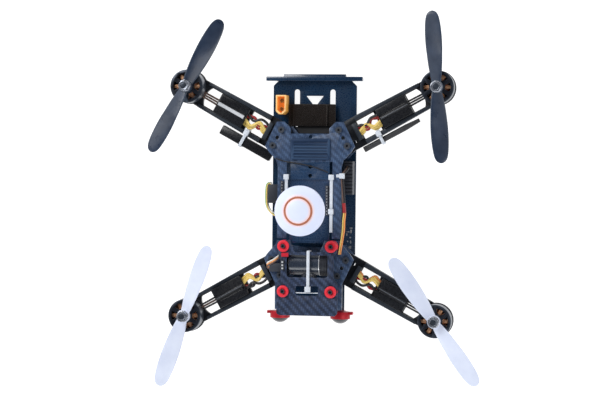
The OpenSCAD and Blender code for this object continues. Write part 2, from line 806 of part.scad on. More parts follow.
// ---------------------------------------------------------------- arms

module arm_outline() {
  r = arm_root_w / 2;
  t = arm_tip_w / 2;
  p = clamp_pitch / 2;
  polygon([[-arm_inner, -r], [root_end, -r], [arm_l - 9, -t], [arm_l - 9, t], [root_end, r],
           [-2, r], [-5.5, p + 2], [-arm_inner, p - 3.5]]);
  translate([arm_l, 0]) circle(r = motor_pad_r);
}

window_r = 8.5;                           // half the width of the arm's windows

// The curved slot that the lock screw follows while the arm swings
module lock_slot() {
  p = clamp_pitch / 2;
  half = hole_r - 0.03;                   // a little narrower than its round ends
  translate([0, p, arm_z - cut]) {
    rotate([0, 0, -90]) rotate_extrude(angle = arm_swing + 1)
      translate([clamp_pitch - half, 0]) square([2 * half, arm_t + 2 * cut]);
    for (a = [0, arm_swing + 1]) rotate([0, 0, a - 90])
      translate([clamp_pitch, 0, 0]) cylinder(r = hole_r, h = arm_t + 2 * cut);
  }
}

module arm() {
  rail_to = arm_l - motor_pad_r + 1;
  tray = [esc_x - 0.4, esc_x + esc_l + 0.4];
  difference() {
    union() {
      plate(arm_z, arm_t) arm_outline();
      // the side rails beside the controller
      plate(arm_top, rail_h) difference() {
        intersection() {
          arm_outline();
          translate([root_end, -arm_root_w]) square([rail_to - root_end, 2 * arm_root_w]);
        }
        translate([0, -(arm_tip_w / 2 - rail_w)]) square([arm_l, arm_tip_w - 2 * rail_w]);
      }
    }
    // the window at the root, the tray of the controller and the window beside the motor
    box([root_end, -window_r, arm_z - cut], [tray[0] - 2, window_r, arm_top + cut]);
    translate([0, 0, arm_z - cut]) linear_extrude(height = arm_t + 2 * cut) intersection() {
      translate([d_window_end - d_window_l, -window_r]) square([d_window_l, 2 * window_r]);
      translate([d_window_end - 14, 0]) circle(r = 14);
    }
    hole([0, 0], arm_z, arm_t, 1.6);
    translate([0, clamp_pitch / 2, arm_z - cut]) cylinder(r = hole_r, h = arm_t + 2 * cut);
    lock_slot();
    // four screw holes under the motor
    for (a = [45:90:315]) rotate_about([arm_l, 0], a) hole([8, 0], arm_z, arm_t, 1.6);
    hole([arm_l, 0], arm_z, arm_t, 3);
  }
  // the plug board across the root
  box([connector_x, -7.5, arm_top], [connector_x + connector_l, 7.5, arm_top + 4]);
}

module rotate_about(at, a) {
  translate([at[0], at[1], 0]) rotate([0, 0, a]) children();
}

module esc() {
  r = arm_tip_w / 2 - rail_w - 0.4;
  h = esc_h / 2;
  difference() {
    union() {
      box([esc_x, -r, arm_top], [esc_x + esc_l, r, arm_top + esc_h]);
      box([esc_x + 0.5, -1, arm_top + h], [esc_x + esc_l, 1, arm_top + esc_h + 0.9]);
    }
    box([esc_x + 3, 2, arm_top + esc_h - 0.7], [esc_x + esc_l - 3, 3, arm_top + esc_h + cut]);
  }
}

// Three signal leads curl in the root window, and three motor leads run out under the bell
module arm_leads() {
  x0 = connector_x + connector_l;
  x1 = esc_x;
  gap = x1 - x0;
  for (k = [-1:1]) {
    z = arm_top + 2.1 + 1.2 * k;
    wire([
      [x0, 2.4 * k, z], [x0 + 0.2 * gap, 2.4 * k + 1, z], [x0 + 0.42 * gap, 1.5 * k + 3.4, z],
      [x0 + 0.66 * gap, 1.4 * k - 3, z], [x0 + 0.85 * gap, 1.8 * k - 2.6, z], [x1, 1.9 * k, z]
    ], 1.3, 3);
  }
  z = arm_top + 1.6;
  out = esc_x + esc_l;
  far = arm_l - bell_d / 2 + stator_notch;
  for (k = [0:2]) wire([
    [out, 2.2 * (k - 1), z], [out + 3, 2.1 * (k - 1), z], [far - 7, 2 * (k - 1), z - 0.4],
    [far, 1.9 * (k - 1), z - 0.6]
  ], 1.5, 3);
}

stator_notch = 4;                         // depth of the notch that lets the motor leads in

module stator() {
  tube_r = 4;
  difference() {
    union() {
      translate([0, 0, arm_top]) cylinder(r = bell_d / 2 - 1, h = stator_base_h);
      translate([0, 0, arm_top]) cylinder(r = tube_r, h = bell_h - 1);
      for (a = [0:30:330]) rotate([0, 0, a]) {
        box([tube_r - 0.5, -1, bell_z + 2.2], [stator_r - 0.6, 1, bell_z + 8.6]);
        box([tube_r + 1.6, -1.7, bell_z + 1.4], [stator_r - 1.4, 1.7, bell_z + 9.4]);
      }
    }
    translate([0, 0, arm_top - cut]) cylinder(r = shaft_d / 2 + shaft_clear, h = bell_h + 2 * cut);
    // a notch in the base lets the leads in
    rotate([0, 0, 180])
      box([bell_d / 2 - stator_notch, -4, arm_top - cut], [bell_d, 4, arm_top + 3]);
  }
}

module bell() {
  r = bell_d / 2;
  nut_top = bell_top + hub_h + washer_t + prop_nut_h;
  difference() {
    union() {
      translate([0, 0, bell_z]) cylinder(r = r, h = bell_h);
      translate([0, 0, arm_top + 0.4]) cylinder(d = shaft_d, h = bell_top - arm_top - 0.4);
      translate([0, 0, bell_top]) cylinder(d = prop_shaft_d, h = nut_top - bell_top - 0.3);
    }
    difference() {
      translate([0, 0, bell_z - cut]) cylinder(r = r - bell_wall, h = bell_h - bell_cap_t + cut);
      translate([0, 0, arm_top]) cylinder(d = shaft_d, h = bell_top - arm_top);
    }
    // windows between the spokes
    for (a = [0:60:300]) rotate([0, 0, a]) translate([0, 0, bell_top - bell_cap_t - cut])
      linear_extrude(height = bell_cap_t + 2 * cut) polygon([
        [6.4, -1.6], [6.8, 1.6], [r - 3.6, 4], [r - 2.4, 0], [r - 3.6, -4]
      ]);
  }
}

// Half-thickness, chord and twist of a blade at a share s of its length
function blade_chord_at(s) =
  blade_chord * (0.55 + 1.45 * s - 1.35 * s * s) / 0.939 * sqrt(max(0.02, 1 - pow(s, 14)));
function blade_t_at(s) = blade_t * (1 - 0.62 * s) * (s > 0.97 ? 0.6 : 1);

// One blade along +X: sections of ten points, turned to the pitch at their radius
module blade(turn) {
  r0 = hub_d / 2 - 1.5;
  r1 = prop_d / 2;
  steps = 15;
  shape = [[-0.5, 0], [-0.4, 0.7], [-0.15, 1], [0.15, 0.8], [0.38, 0.4], [0.5, 0],
           [0.38, -0.3], [0.15, -0.5], [-0.15, -0.5], [-0.4, -0.35]];
  n = len(shape);
  share = [for (k = [0:steps]) k < steps - 3 ? k / (steps - 1) : 1 - 0.034 * pow(0.42, k - steps + 3)];
  points = [for (s = [for (v = share) min(v, 1)], q = shape)
    let (x = r0 + (r1 - r0) * s, c = blade_chord_at(s), t = blade_t_at(s) / 2,
         a = turn * min(24, atan(blade_pitch / (2 * PI * max(x, 12)))))
    [x, turn * q[0] * c * cos(a) - q[1] * t * sin(a), q[0] * c * sin(abs(a)) + q[1] * t * cos(a)]];
  walls = [for (i = [0:steps - 1], k = [0:n - 1], half = [0, 1])
    let (a = i * n + k, b = i * n + (k + 1) % n, face = half ? [a, b, b + n] : [a, b + n, a + n])
    turn < 0 ? [face[0], face[2], face[1]] : face];
  root = [for (k = [0:n - 1]) turn < 0 ? k : n - 1 - k];
  tip = [for (k = [0:n - 1]) steps * n + (turn < 0 ? n - 1 - k : k)];
  polyhedron(points = points, faces = concat(walls, [root, tip]), convexity = 6);
}

module prop(pose) {
  z = bell_top;
  difference() {
    union() {
      translate([0, 0, z]) cylinder(d = hub_d, h = hub_h);
      for (half = [0, 180]) rotate([0, 0, pose[0] + half])
        translate([0, 0, z + hub_h / 2]) blade(pose[1]);
    }
    translate([0, 0, z - cut]) cylinder(r = prop_shaft_d / 2 + fit_gap, h = hub_h + 2 * cut);
  }
}

module nut() {
  z = bell_top + hub_h;
  difference() {
    union() {
      translate([0, 0, z]) cylinder(d = hub_d - 1, h = washer_t);
      translate([0, 0, z + washer_t]) cylinder(d = nut_af / cos(30), h = prop_nut_h, $fn = 6);
    }
    translate([0, 0, z - cut])
      cylinder(r = prop_shaft_d / 2 + fit_gap, h = washer_t + prop_nut_h + 2 * cut);
  }
}

// ---------------------------------------------------------------- on the rear arms

receiver_y = [-22.2, -14.2];              // across the arm, clear of its front rail
receiver_z = 19;

module receiver() {
  color("black") at_corner([-1, 1]) on_arm()
    box([-1, receiver_y[0], arm_z + 0.5], [47.8, receiver_y[1], receiver_z]);
}

module antenna_sleeve() {
  sleeve_y = -16;
  color("dimgray") on_arm() translate([9.5, sleeve_y, arm_z + 3]) rotate([0, 90, 0])
    union() {
      cylinder(r = 2.4, h = 40);
      translate([0, 0, 40]) cylinder(r1 = 2.4, r2 = 1.6, h = 13);
    }
}

// A tie round a rail and what is strapped beside it
module arm_tie(x, low, high) {
  translate([x, 0, 0]) difference() {
    box([0, low[0] - tie_t, low[1] - tie_t], [tie_w, high[0] + tie_t, high[1] + tie_t]);
    box([-cut, low[0], low[1]], [tie_w + cut, high[0], high[1]]);
  }
  box([x - 0.9, high[0] - 4, high[1]], [x + tie_w + 0.9, high[0] + 0.4, high[1] + 3]);
}

module receiver_tie() {
  color("white") at_corner([-1, 1]) on_arm()
    arm_tie(25.6, [receiver_y[0] - 0.1, arm_z - 0.1], [-8.2, receiver_z + 0.1]);
}

module sleeve_tie() {
  color("white") on_arm() arm_tie(25.6, [-18.6, arm_z - 0.1], [-8.2, arm_top + rail_h + 0.1]);
}

// ---------------------------------------------------------------- nodes

arm_black = "dimgray";
prop_black = "darkslategray";
prop_white = "whitesmoke";
// angle of each propeller, as it stands, and the way its blades are turned
rear_left_turn = [61.7, 1];
rear_right_turn = [94.4, -1];
front_left_turn = [70.7, -1];
front_right_turn = [125, 1];

base_board();
rubber_pads();
lower_clamp_plates();
rear_clamp_plate();
front_clamp_plate();
centre_deck();
centre_cover();
flight_controller();
clamp_spacers();
screws();
tail_board();
power_plug();
power_contacts();
battery_strap();
camera_plate();
camera_dampers();
camera_bracket();
headlight_bezels();
headlight_domes();
antenna_mast();
antenna_cap();
antenna_ring();
video_transmitter();
cable_ties();
body_connectors();
body_leads();
camera_body();
camera_lens();
receiver();
antenna_sleeve();
receiver_tie();
sleeve_tie();
color(arm_black) at_corner(SIDES[0]) on_arm() arm();  // rear_left_arm
color(arm_black) at_corner(SIDES[1]) on_arm() arm();  // rear_right_arm
color(arm_black) at_corner(SIDES[2]) on_arm() arm();  // front_left_arm
color(arm_black) at_corner(SIDES[3]) on_arm() arm();  // front_right_arm
color("black") at_corner(SIDES[0]) on_arm() esc();  // rear_left_esc
color("black") at_corner(SIDES[1]) on_arm() esc();  // rear_right_esc
color("black") at_corner(SIDES[2]) on_arm() esc();  // front_left_esc
color("black") at_corner(SIDES[3]) on_arm() esc();  // front_right_esc
color("gold") at_corner(SIDES[0]) on_arm() arm_leads();  // rear_left_leads
color("gold") at_corner(SIDES[1]) on_arm() arm_leads();  // rear_right_leads
color("gold") at_corner(SIDES[2]) on_arm() arm_leads();  // front_left_leads
color("gold") at_corner(SIDES[3]) on_arm() arm_leads();  // front_right_leads
color("peru") at_corner(SIDES[0]) on_arm_end() stator();  // rear_left_stator
color("peru") at_corner(SIDES[1]) on_arm_end() stator();  // rear_right_stator
color("peru") at_corner(SIDES[2]) on_arm_end() stator();  // front_left_stator
color("peru") at_corner(SIDES[3]) on_arm_end() stator();  // front_right_stator
color("dimgray") at_motor(SIDES[0]) bell();  // rear_left_bell
color("dimgray") at_motor(SIDES[1]) bell();  // rear_right_bell
color("dimgray") at_motor(SIDES[2]) bell();  // front_left_bell
color("dimgray") at_motor(SIDES[3]) bell();  // front_right_bell
color(prop_black) at_motor(SIDES[0]) prop(rear_left_turn);  // rear_left_prop
color(prop_black) at_motor(SIDES[1]) prop(rear_right_turn);  // rear_right_prop
color(prop_white) at_motor(SIDES[2]) prop(front_left_turn);  // front_left_prop
color(prop_white) at_motor(SIDES[3]) prop(front_right_turn);  // front_right_prop
color("silver") at_motor(SIDES[0]) nut();  // rear_left_nut
color("silver") at_motor(SIDES[1]) nut();  // rear_right_nut
color("silver") at_motor(SIDES[2]) nut();  // front_left_nut
color("silver") at_motor(SIDES[3]) nut();  // front_right_nut
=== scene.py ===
# %% [markdown]
# # A racing quadcopter, dressed
# The solid model comes in as a fixed frame of named nodes that already ride on their
# bodies. This script gives every one of them its real finish, rounds the edges that a
# hand would feel, and adds the soft and fine things: leads, strap, windings, pins.

# %% Load the frame
import bpy, bmesh, json, math
from mathutils import Matrix, Vector

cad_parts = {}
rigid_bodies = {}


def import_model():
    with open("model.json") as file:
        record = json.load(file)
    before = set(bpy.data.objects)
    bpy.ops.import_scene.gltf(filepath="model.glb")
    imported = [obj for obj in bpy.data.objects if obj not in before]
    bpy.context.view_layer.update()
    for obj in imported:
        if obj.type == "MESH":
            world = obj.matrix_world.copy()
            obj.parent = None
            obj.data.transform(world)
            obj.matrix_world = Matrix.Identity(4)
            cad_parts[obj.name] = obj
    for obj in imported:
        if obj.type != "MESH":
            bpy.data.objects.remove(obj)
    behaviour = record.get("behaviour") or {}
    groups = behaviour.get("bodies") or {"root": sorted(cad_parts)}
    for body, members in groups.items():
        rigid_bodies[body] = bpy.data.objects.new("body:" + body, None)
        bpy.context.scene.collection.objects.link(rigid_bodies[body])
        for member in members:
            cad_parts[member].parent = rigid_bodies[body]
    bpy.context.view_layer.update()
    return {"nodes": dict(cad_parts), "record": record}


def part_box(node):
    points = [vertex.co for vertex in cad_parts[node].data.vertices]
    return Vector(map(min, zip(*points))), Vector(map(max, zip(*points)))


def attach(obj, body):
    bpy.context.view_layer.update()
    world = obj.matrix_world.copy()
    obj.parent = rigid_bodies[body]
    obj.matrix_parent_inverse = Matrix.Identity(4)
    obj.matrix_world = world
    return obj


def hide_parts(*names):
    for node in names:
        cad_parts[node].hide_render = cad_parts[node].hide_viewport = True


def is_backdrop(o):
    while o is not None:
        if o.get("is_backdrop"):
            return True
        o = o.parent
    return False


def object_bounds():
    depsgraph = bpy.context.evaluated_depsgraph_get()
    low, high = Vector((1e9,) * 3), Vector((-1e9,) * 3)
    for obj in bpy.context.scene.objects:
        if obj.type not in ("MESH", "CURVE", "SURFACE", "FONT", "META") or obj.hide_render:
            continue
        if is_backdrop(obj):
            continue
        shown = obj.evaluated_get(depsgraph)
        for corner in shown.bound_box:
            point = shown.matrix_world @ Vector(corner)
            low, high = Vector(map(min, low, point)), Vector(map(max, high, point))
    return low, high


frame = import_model()
NODES = frame["nodes"]
BODY_OF = {n: b for b, ns in frame["record"]["behaviour"]["bodies"].items() for n in ns}
CORNERS = {"rear_left": (-1, 1), "rear_right": (1, 1), "front_left": (-1, -1), "front_right": (1, -1)}
MM = 0.001

# %% [markdown]
# ## Camera
# The drone is seen from far above through a long lens, nearly square on. The camera
# leans a few degrees to the right side, so tall parts such as the antenna lean left.
# Building the camera's axes one by one keeps its roll exact, which an aim would not.

# %% Camera
TOWARD_CAMERA = Vector((0.1585, 0.0196, 0.9872)).normalized()
CAMERA_DISTANCE = 1.6
CAMERA_ROLL = math.radians(0.61)
eye = bpy.data.cameras.new("studio_camera")
eye.sensor_width, eye.lens = 36, 109.9
eye.shift_x, eye.shift_y = -0.0147, -0.0031
eye.clip_end = 30
camera = bpy.data.objects.new("studio_camera", eye)
bpy.context.scene.collection.objects.link(camera)
ahead = -TOWARD_CAMERA
right = ahead.cross(Vector((0, 1, 0))).normalized()
upward = right.cross(ahead)
turn = Matrix((right, upward, TOWARD_CAMERA)).transposed().to_4x4()
camera.matrix_world = (Matrix.Translation(TOWARD_CAMERA * CAMERA_DISTANCE) @ turn
                       @ Matrix.Rotation(CAMERA_ROLL, 4, "Z"))
bpy.context.scene.camera = camera

# %% [markdown]
# ## Studio
# A white floor, a sky that is white at the horizon and dark overhead, and three large soft
# lamps. The floor gives off a little light of its own, as a lit table does, so the shadows
# stay faint while the dark plates keep their depth.

# %% Floor, sky and lamps
def new_tree(name):
    """A material with an empty tree but for its shader, with helpers' handles."""
    material = bpy.data.materials.new(name)
    material.use_nodes = True
    tree = material.node_tree
    return material, tree, tree.nodes["Principled BSDF"]


floor_mesh = bpy.data.meshes.new("floor")
half = 6
floor_mesh.from_pydata([(-half, -half, 0), (half, -half, 0), (half, half, 0), (-half, half, 0)],
                       [], [(0, 1, 2, 3)])
floor = bpy.data.objects.new("floor", floor_mesh)
bpy.context.scene.collection.objects.link(floor)
floor_paint, tree, shader = new_tree("floor_paint")
shader.inputs["Base Color"].default_value = (0.35, 0.35, 0.35, 1)
shader.inputs["Roughness"].default_value = 0.9
shader.inputs["Specular IOR Level"].default_value = 0.1
shader.inputs["Emission Color"].default_value = (1, 1, 1, 1)
shader.inputs["Emission Strength"].default_value = 0.92
floor_mesh.materials.append(floor_paint)
floor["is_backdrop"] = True

sky = bpy.data.worlds.new("sky")
sky.use_nodes = True
sky_tree = sky.node_tree
facing = sky_tree.nodes.new("ShaderNodeTexCoord")
height = sky_tree.nodes.new("ShaderNodeSeparateXYZ")
fade = sky_tree.nodes.new("ShaderNodeValToRGB")
fade.color_ramp.elements[0].position, fade.color_ramp.elements[0].color = 0.35, (1, 1, 1, 1)
fade.color_ramp.elements[1].position, fade.color_ramp.elements[1].color = 0.9, (0.08, 0.085, 0.1, 1)
sky_tree.links.new(facing.outputs["Generated"], height.inputs[0])
sky_tree.links.new(height.outputs["Z"], fade.inputs["Fac"])
sky_tree.links.new(fade.outputs["Color"], sky_tree.nodes["Background"].inputs["Color"])
sky_tree.nodes["Background"].inputs["Strength"].default_value = 1.0
bpy.context.scene.world = sky
bpy.context.scene.view_settings.view_transform = "Standard"


def lamp(name, place, size, watts, colour=(1, 1, 1)):
    data = bpy.data.lights.new(name, "AREA")
    data.size, data.energy, data.color = size, watts, colour
    lamp_object = bpy.data.objects.new(name, data)
    bpy.context.scene.collection.objects.link(lamp_object)
    lamp_object.location = place
    lamp_object.rotation_euler = (-Vector(place)).to_track_quat("-Z", "Y").to_euler()
    lamp_object.visible_camera = False


lamp("key_lamp", (-0.9, 0.9, 1.2), 0.8, 19)
lamp("fill_lamp", (1.1, -0.6, 1.3), 1.0, 8)
lamp("front_lamp", (-0.2, -1.4, 1.0), 0.8, 7, (0.95, 0.97, 1))

# %% [markdown]
# ## Finishes
# Almost every real finish is a base colour that drifts a little, a fine grain that
# catches the light, and gloss that is not quite even. One recipe builds all three from
# noise on object coordinates, and paints a highlight on convex edges.

# %% The common recipe
def node(tree, kind, **settings):
    made = tree.nodes.new(kind)
    for key, value in settings.items():
        if key.startswith("in_"):
            made.inputs[key[3:].replace("_", " ")].default_value = value
        else:
            setattr(made, key, value)
    return made


def link(tree, source, target):
    tree.links.new(source, target)
    return target


def object_space(tree):
    return node(tree, "ShaderNodeTexCoord").outputs["Object"]


def noise(tree, scale, detail=4, stretch=None):
    space = object_space(tree)
    if stretch:
        grid = node(tree, "ShaderNodeMapping")
        grid.inputs["Scale"].default_value = stretch
        link(tree, space, grid.inputs["Vector"])
        space = grid.outputs["Vector"]
    made = node(tree, "ShaderNodeTexNoise", in_Scale=scale, in_Detail=detail, in_Roughness=0.6)
    link(tree, space, made.inputs["Vector"])
    return made.outputs["Fac"]


def ramp(tree, value, stops):
    made = node(tree, "ShaderNodeValToRGB")
    band = made.color_ramp
    while len(band.elements) < len(stops):
        band.elements.new(0.5)
    for element, (place, colour) in zip(band.elements, stops):
        element.position = place
        element.color = (*colour, 1)
    link(tree, value, made.inputs["Fac"])
    return made.outputs["Color"]


def spread(tree, value, low, high):
    made = node(tree, "ShaderNodeMapRange")
    made.inputs["From Min"].default_value = 0.3
    made.inputs["From Max"].default_value = 0.7
    made.inputs["To Min"].default_value = low
    made.inputs["To Max"].default_value = high
    link(tree, value, made.inputs["Value"])
    return made.outputs["Result"]


def maths(tree, operation, a, b=None):
    made = node(tree, "ShaderNodeMath", operation=operation)
    for k, value in enumerate((a, b)):
        if value is None:
            continue
        if isinstance(value, (int, float)):
            made.inputs[k].default_value = value
        else:
            link(tree, value, made.inputs[k])
    return made.outputs[0]


def blended(tree, share, a, b, mode="MIX"):
    made = node(tree, "ShaderNodeMix", data_type="RGBA", blend_type=mode)
    for value, target in ((share, made.inputs[0]), (a, made.inputs[6]), (b, made.inputs[7])):
        if isinstance(value, (int, float)):
            target.default_value = value
        elif isinstance(value, tuple):
            target.default_value = (*value, 1)
        else:
            link(tree, value, target)
    return made.outputs[2]


def grained(tree, shader, height, strength, depth_mm=0.1):
    made = node(tree, "ShaderNodeBump", in_Strength=strength, in_Distance=depth_mm * MM)
    link(tree, height, made.inputs["Height"])
    link(tree, made.outputs["Normal"], shader.inputs["Normal"])


def finish(name, low, high, grain=1400, gloss=(0.35, 0.5), relief=0.15, metal=0.0, edge=None,
           coat=0.0, stretch=None, sheen=0.0, specular=0.5, glow_through=0.0):
    material, tree, shader = new_tree(name)
    fine = noise(tree, grain, 5, stretch)
    broad = noise(tree, 38, 3)
    mixed = maths(tree, "ADD", maths(tree, "MULTIPLY", fine, 0.45), maths(tree, "MULTIPLY", broad, 0.55))
    colour = ramp(tree, mixed, [(0.34, low), (0.66, high)])
    if edge:
        # Painted highlight: convex edges, found by pointiness, are painted in the brighter edge colour.
        edge_highlight = ramp(tree, node(tree, "ShaderNodeNewGeometry").outputs["Pointiness"],
                    [(0.52, (0, 0, 0)), (0.6, (1, 1, 1))])
        colour = blended(tree, edge_highlight, colour, edge)
    link(tree, colour, shader.inputs["Base Color"])
    link(tree, spread(tree, fine, *gloss), shader.inputs["Roughness"])
    shader.inputs["Metallic"].default_value = metal
    shader.inputs["Coat Weight"].default_value = coat
    shader.inputs["Sheen Weight"].default_value = sheen
    shader.inputs["Specular IOR Level"].default_value = specular
    shader.inputs["Subsurface Weight"].default_value = glow_through
    if glow_through:
        shader.inputs["Subsurface Radius"].default_value = (0.002, 0.002, 0.002)
    grained(tree, shader, fine, relief)
    return material


# %% Plain finishes
RUBBER = finish("matte_rubber", (0.012, 0.012, 0.014), (0.03, 0.03, 0.034), 2200, (0.7, 0.9), 0.4)
ARM_NYLON = finish("arm_nylon", (0.004, 0.005, 0.007), (0.011, 0.013, 0.018), 1800, (0.3, 0.48),
                   0.22, edge=(0.035, 0.045, 0.06), specular=0.35)
BLACK_PLASTIC = finish("black_plastic", (0.005, 0.006, 0.008), (0.014, 0.016, 0.021), 1600,
                       (0.4, 0.6), 0.25, edge=(0.04, 0.045, 0.06), specular=0.35)
HEAT_SHRINK = finish("heat_shrink", (0.004, 0.0045, 0.006), (0.011, 0.012, 0.015), 700,
                     (0.22, 0.4), 0.35, stretch=(1, 1, 3), specular=0.4)
RIDGE_HIGHLIGHT_GREY = finish("ridge_painted_highlight", (0.05, 0.055, 0.065), (0.12, 0.13, 0.15), 900, (0.25, 0.4), 0.2)
RIDGE_BRIGHT = finish("ridge_bright", (0.42, 0.45, 0.48), (0.62, 0.64, 0.67), 900, (0.25, 0.4), 0.2)
SLEEVE = finish("sleeve_rubber", (0.012, 0.013, 0.015), (0.035, 0.037, 0.042), 900, (0.5, 0.7), 0.3)
BLACK_STEEL = finish("black_steel", (0.008, 0.009, 0.012), (0.024, 0.027, 0.034), 2500, (0.3, 0.45),
                     0.15, metal=0.5, edge=(0.07, 0.08, 0.1), specular=0.4)
ANODISED_BLACK = finish("anodised_black", (0.01, 0.012, 0.018), (0.026, 0.031, 0.044), 3000,
                        (0.25, 0.4), 0.1, metal=0.6, edge=(0.16, 0.2, 0.26), stretch=(1, 1, 0.1))
ANODISED_RED = finish("anodised_red", (0.26, 0.001, 0.004), (0.38, 0.003, 0.011), 2600, (0.3, 0.45),
                      0.1, specular=0.3, metal=0.2, edge=(0.58, 0.02, 0.04))
DAMPER_RED = finish("damper_rubber", (0.62, 0.018, 0.035), (0.8, 0.035, 0.055), 1500, (0.45, 0.6),
                    0.2, glow_through=0.05, specular=0.3)
SMOKED = finish("smoked_lens", (0.012, 0.012, 0.017), (0.03, 0.03, 0.038), 500, (0.1, 0.16), 0.02,
                coat=0.6)
SILVER = finish("satin_silver", (0.45, 0.46, 0.5), (0.62, 0.63, 0.67), 2600, (0.25, 0.4), 0.12,
                metal=1.0, stretch=(1, 1, 0.08))
COPPER_RING = finish("copper_ring", (0.44, 0.14, 0.08), (0.58, 0.22, 0.13), 1200, (0.35, 0.5), 0.1,
                     metal=0.3)
GOLD = finish("plated_contact", (0.85, 0.42, 0.10), (1.0, 0.6, 0.22), 2000, (0.2, 0.35), 0.08,
              metal=0.9)
PIN_METAL = finish("pin_metal", (0.7, 0.72, 0.74), (0.9, 0.9, 0.9), 2000, (0.2, 0.35), 0.05, metal=0.4)
SOLDER = finish("solder_pad", (0.3, 0.33, 0.36), (0.5, 0.52, 0.55), 1500, (0.25, 0.45), 0.3, metal=0.5)
STRAP_BROWN = finish("strap_brown", (0.006, 0.004, 0.0035), (0.022, 0.015, 0.012), 2600, (0.8, 0.95),
                     0.9, sheen=0.25, specular=0.15)
STITCH = finish("strap_stitch", (0.06, 0.05, 0.045), (0.14, 0.12, 0.11), 1500, (0.7, 0.9), 0.4)
PROP_BLACK = finish("prop_black", (0.010, 0.019, 0.04), (0.022, 0.038, 0.074), 90, (0.25, 0.4),
                    0.02, coat=0.12, edge=(0.06, 0.08, 0.11))
PROP_WHITE = finish("prop_milk", (0.60, 0.65, 0.80), (0.70, 0.75, 0.88), 60, (0.3, 0.42), 0.02,
                    glow_through=0.12, specular=0.35)
COVER = finish("ribbed_cover", (0.007, 0.021, 0.055), (0.015, 0.034, 0.08), 1500, (0.4, 0.55), 0.2,
               edge=(0.03, 0.06, 0.12), specular=0.2)
CAMERA_SHELL = finish("camera_shell", (0.014, 0.02, 0.034), (0.03, 0.04, 0.06), 1200, (0.2, 0.32),
                      0.1, coat=0.3)
LENS = finish("lens_black", (0.004, 0.004, 0.006), (0.012, 0.012, 0.018), 900, (0.08, 0.16), 0.02,
              coat=1.0)
LEAD = {
    "yellow": finish("lead_yellow", (0.72, 0.50, 0.10), (0.86, 0.66, 0.22), 900, (0.3, 0.45), 0.1),
    "red": finish("lead_red", (0.24, 0.01, 0.015), (0.36, 0.02, 0.02), 900, (0.3, 0.45), 0.1),
    "black": finish("lead_black", (0.006, 0.006, 0.008), (0.02, 0.02, 0.024), 900, (0.3, 0.45), 0.1),
    "brown": finish("lead_brown", (0.08, 0.045, 0.035), (0.15, 0.09, 0.07), 900, (0.35, 0.5), 0.1),
    "white": finish("lead_white", (0.70, 0.70, 0.62), (0.82, 0.82, 0.76), 900, (0.3, 0.45), 0.1),
    "green": finish("lead_green", (0.16, 0.36, 0.14), (0.28, 0.5, 0.24), 900, (0.3, 0.45), 0.1),
    "orange": finish("lead_orange", (0.75, 0.25, 0.05), (0.85, 0.36, 0.12), 900, (0.3, 0.45), 0.1),
}
print("plain finishes ready:", len(bpy.data.materials))

# %% [markdown]
# ## Carbon, circuit board and the other patterned finishes
# Carbon twill is two sets of flat tows that cross two over, two under. Adding the tow
# numbers of the two directions and counting in fours gives the weave's diagonal. Each tow
# is shaded across its width. A circuit board is a lacquer over copper tracks.

# %% Patterned finishes
def counted(tree, value, width_mm):
    """(whole part, part left over) of a length counted in tows."""
    scaled = maths(tree, "DIVIDE", value, width_mm * MM)
    whole = maths(tree, "FLOOR", scaled)
    return whole, maths(tree, "SUBTRACT", scaled, whole)


def twill(name, warp, weft, tow_mm=1.5, gloss=(0.3, 0.45)):
    material, tree, shader = new_tree(name)
    axes = node(tree, "ShaderNodeSeparateXYZ")
    link(tree, object_space(tree), axes.inputs[0])
    across, u = counted(tree, axes.outputs["X"], tow_mm)
    along, v = counted(tree, axes.outputs["Y"], tow_mm)
    step = maths(tree, "FLOORED_MODULO", maths(tree, "ADD", across, along), 4)
    over = maths(tree, "LESS_THAN", step, 1.5)
    rounded_u = maths(tree, "SINE", maths(tree, "MULTIPLY", u, math.pi))
    rounded_v = maths(tree, "SINE", maths(tree, "MULTIPLY", v, math.pi))
    # Painted light: each tow is darker toward its edges as painted shade, and the warp is brighter than the
    # weft as a painted sheen.
    warp_shade = blended(tree, rounded_u, tuple(0.62 * c for c in warp), warp)
    weft_shade = blended(tree, rounded_v, tuple(0.62 * c for c in weft), weft)
    weave = blended(tree, over, weft_shade, warp_shade)
    patches = ramp(tree, noise(tree, 190, 4), [(0.35, (0.62, 0.66, 0.72)), (0.68, (1.25, 1.22, 1.2))])
    colour = blended(tree, 1.0, weave, patches, "MULTIPLY")
    link(tree, colour, shader.inputs["Base Color"])
    link(tree, spread(tree, noise(tree, 400, 3), *gloss), shader.inputs["Roughness"])
    shader.inputs["Coat Weight"].default_value = 0.35
    height = maths(tree, "MAXIMUM", maths(tree, "MULTIPLY", rounded_u, over),
                   maths(tree, "MULTIPLY", rounded_v, maths(tree, "SUBTRACT", 1.0, over)))
    grained(tree, shader, height, 0.35, 0.08)
    return material


def circuit_board(name, lacquer, track, pitch=260):
    material, tree, shader = new_tree(name)
    grid = node(tree, "ShaderNodeTexBrick", in_Scale=pitch)
    grid.inputs["Mortar Size"].default_value = 0.045
    grid.inputs["Brick Width"].default_value = 1.9
    grid.inputs["Row Height"].default_value = 0.55
    link(tree, object_space(tree), grid.inputs["Vector"])
    where = ramp(tree, noise(tree, 55, 2), [(0.5, (0, 0, 0)), (0.56, (1, 1, 1))])
    shown = maths(tree, "MULTIPLY", grid.outputs["Fac"], where)
    drift = ramp(tree, noise(tree, 24, 3), [(0.3, tuple(0.72 * c for c in lacquer)), (0.7, lacquer)])
    link(tree, blended(tree, shown, drift, track), shader.inputs["Base Color"])
    link(tree, spread(tree, noise(tree, 900, 3), 0.22, 0.36), shader.inputs["Roughness"])
    shader.inputs["Coat Weight"].default_value = 0.3
    grained(tree, shader, grid.outputs["Fac"], 0.12, 0.04)
    return material


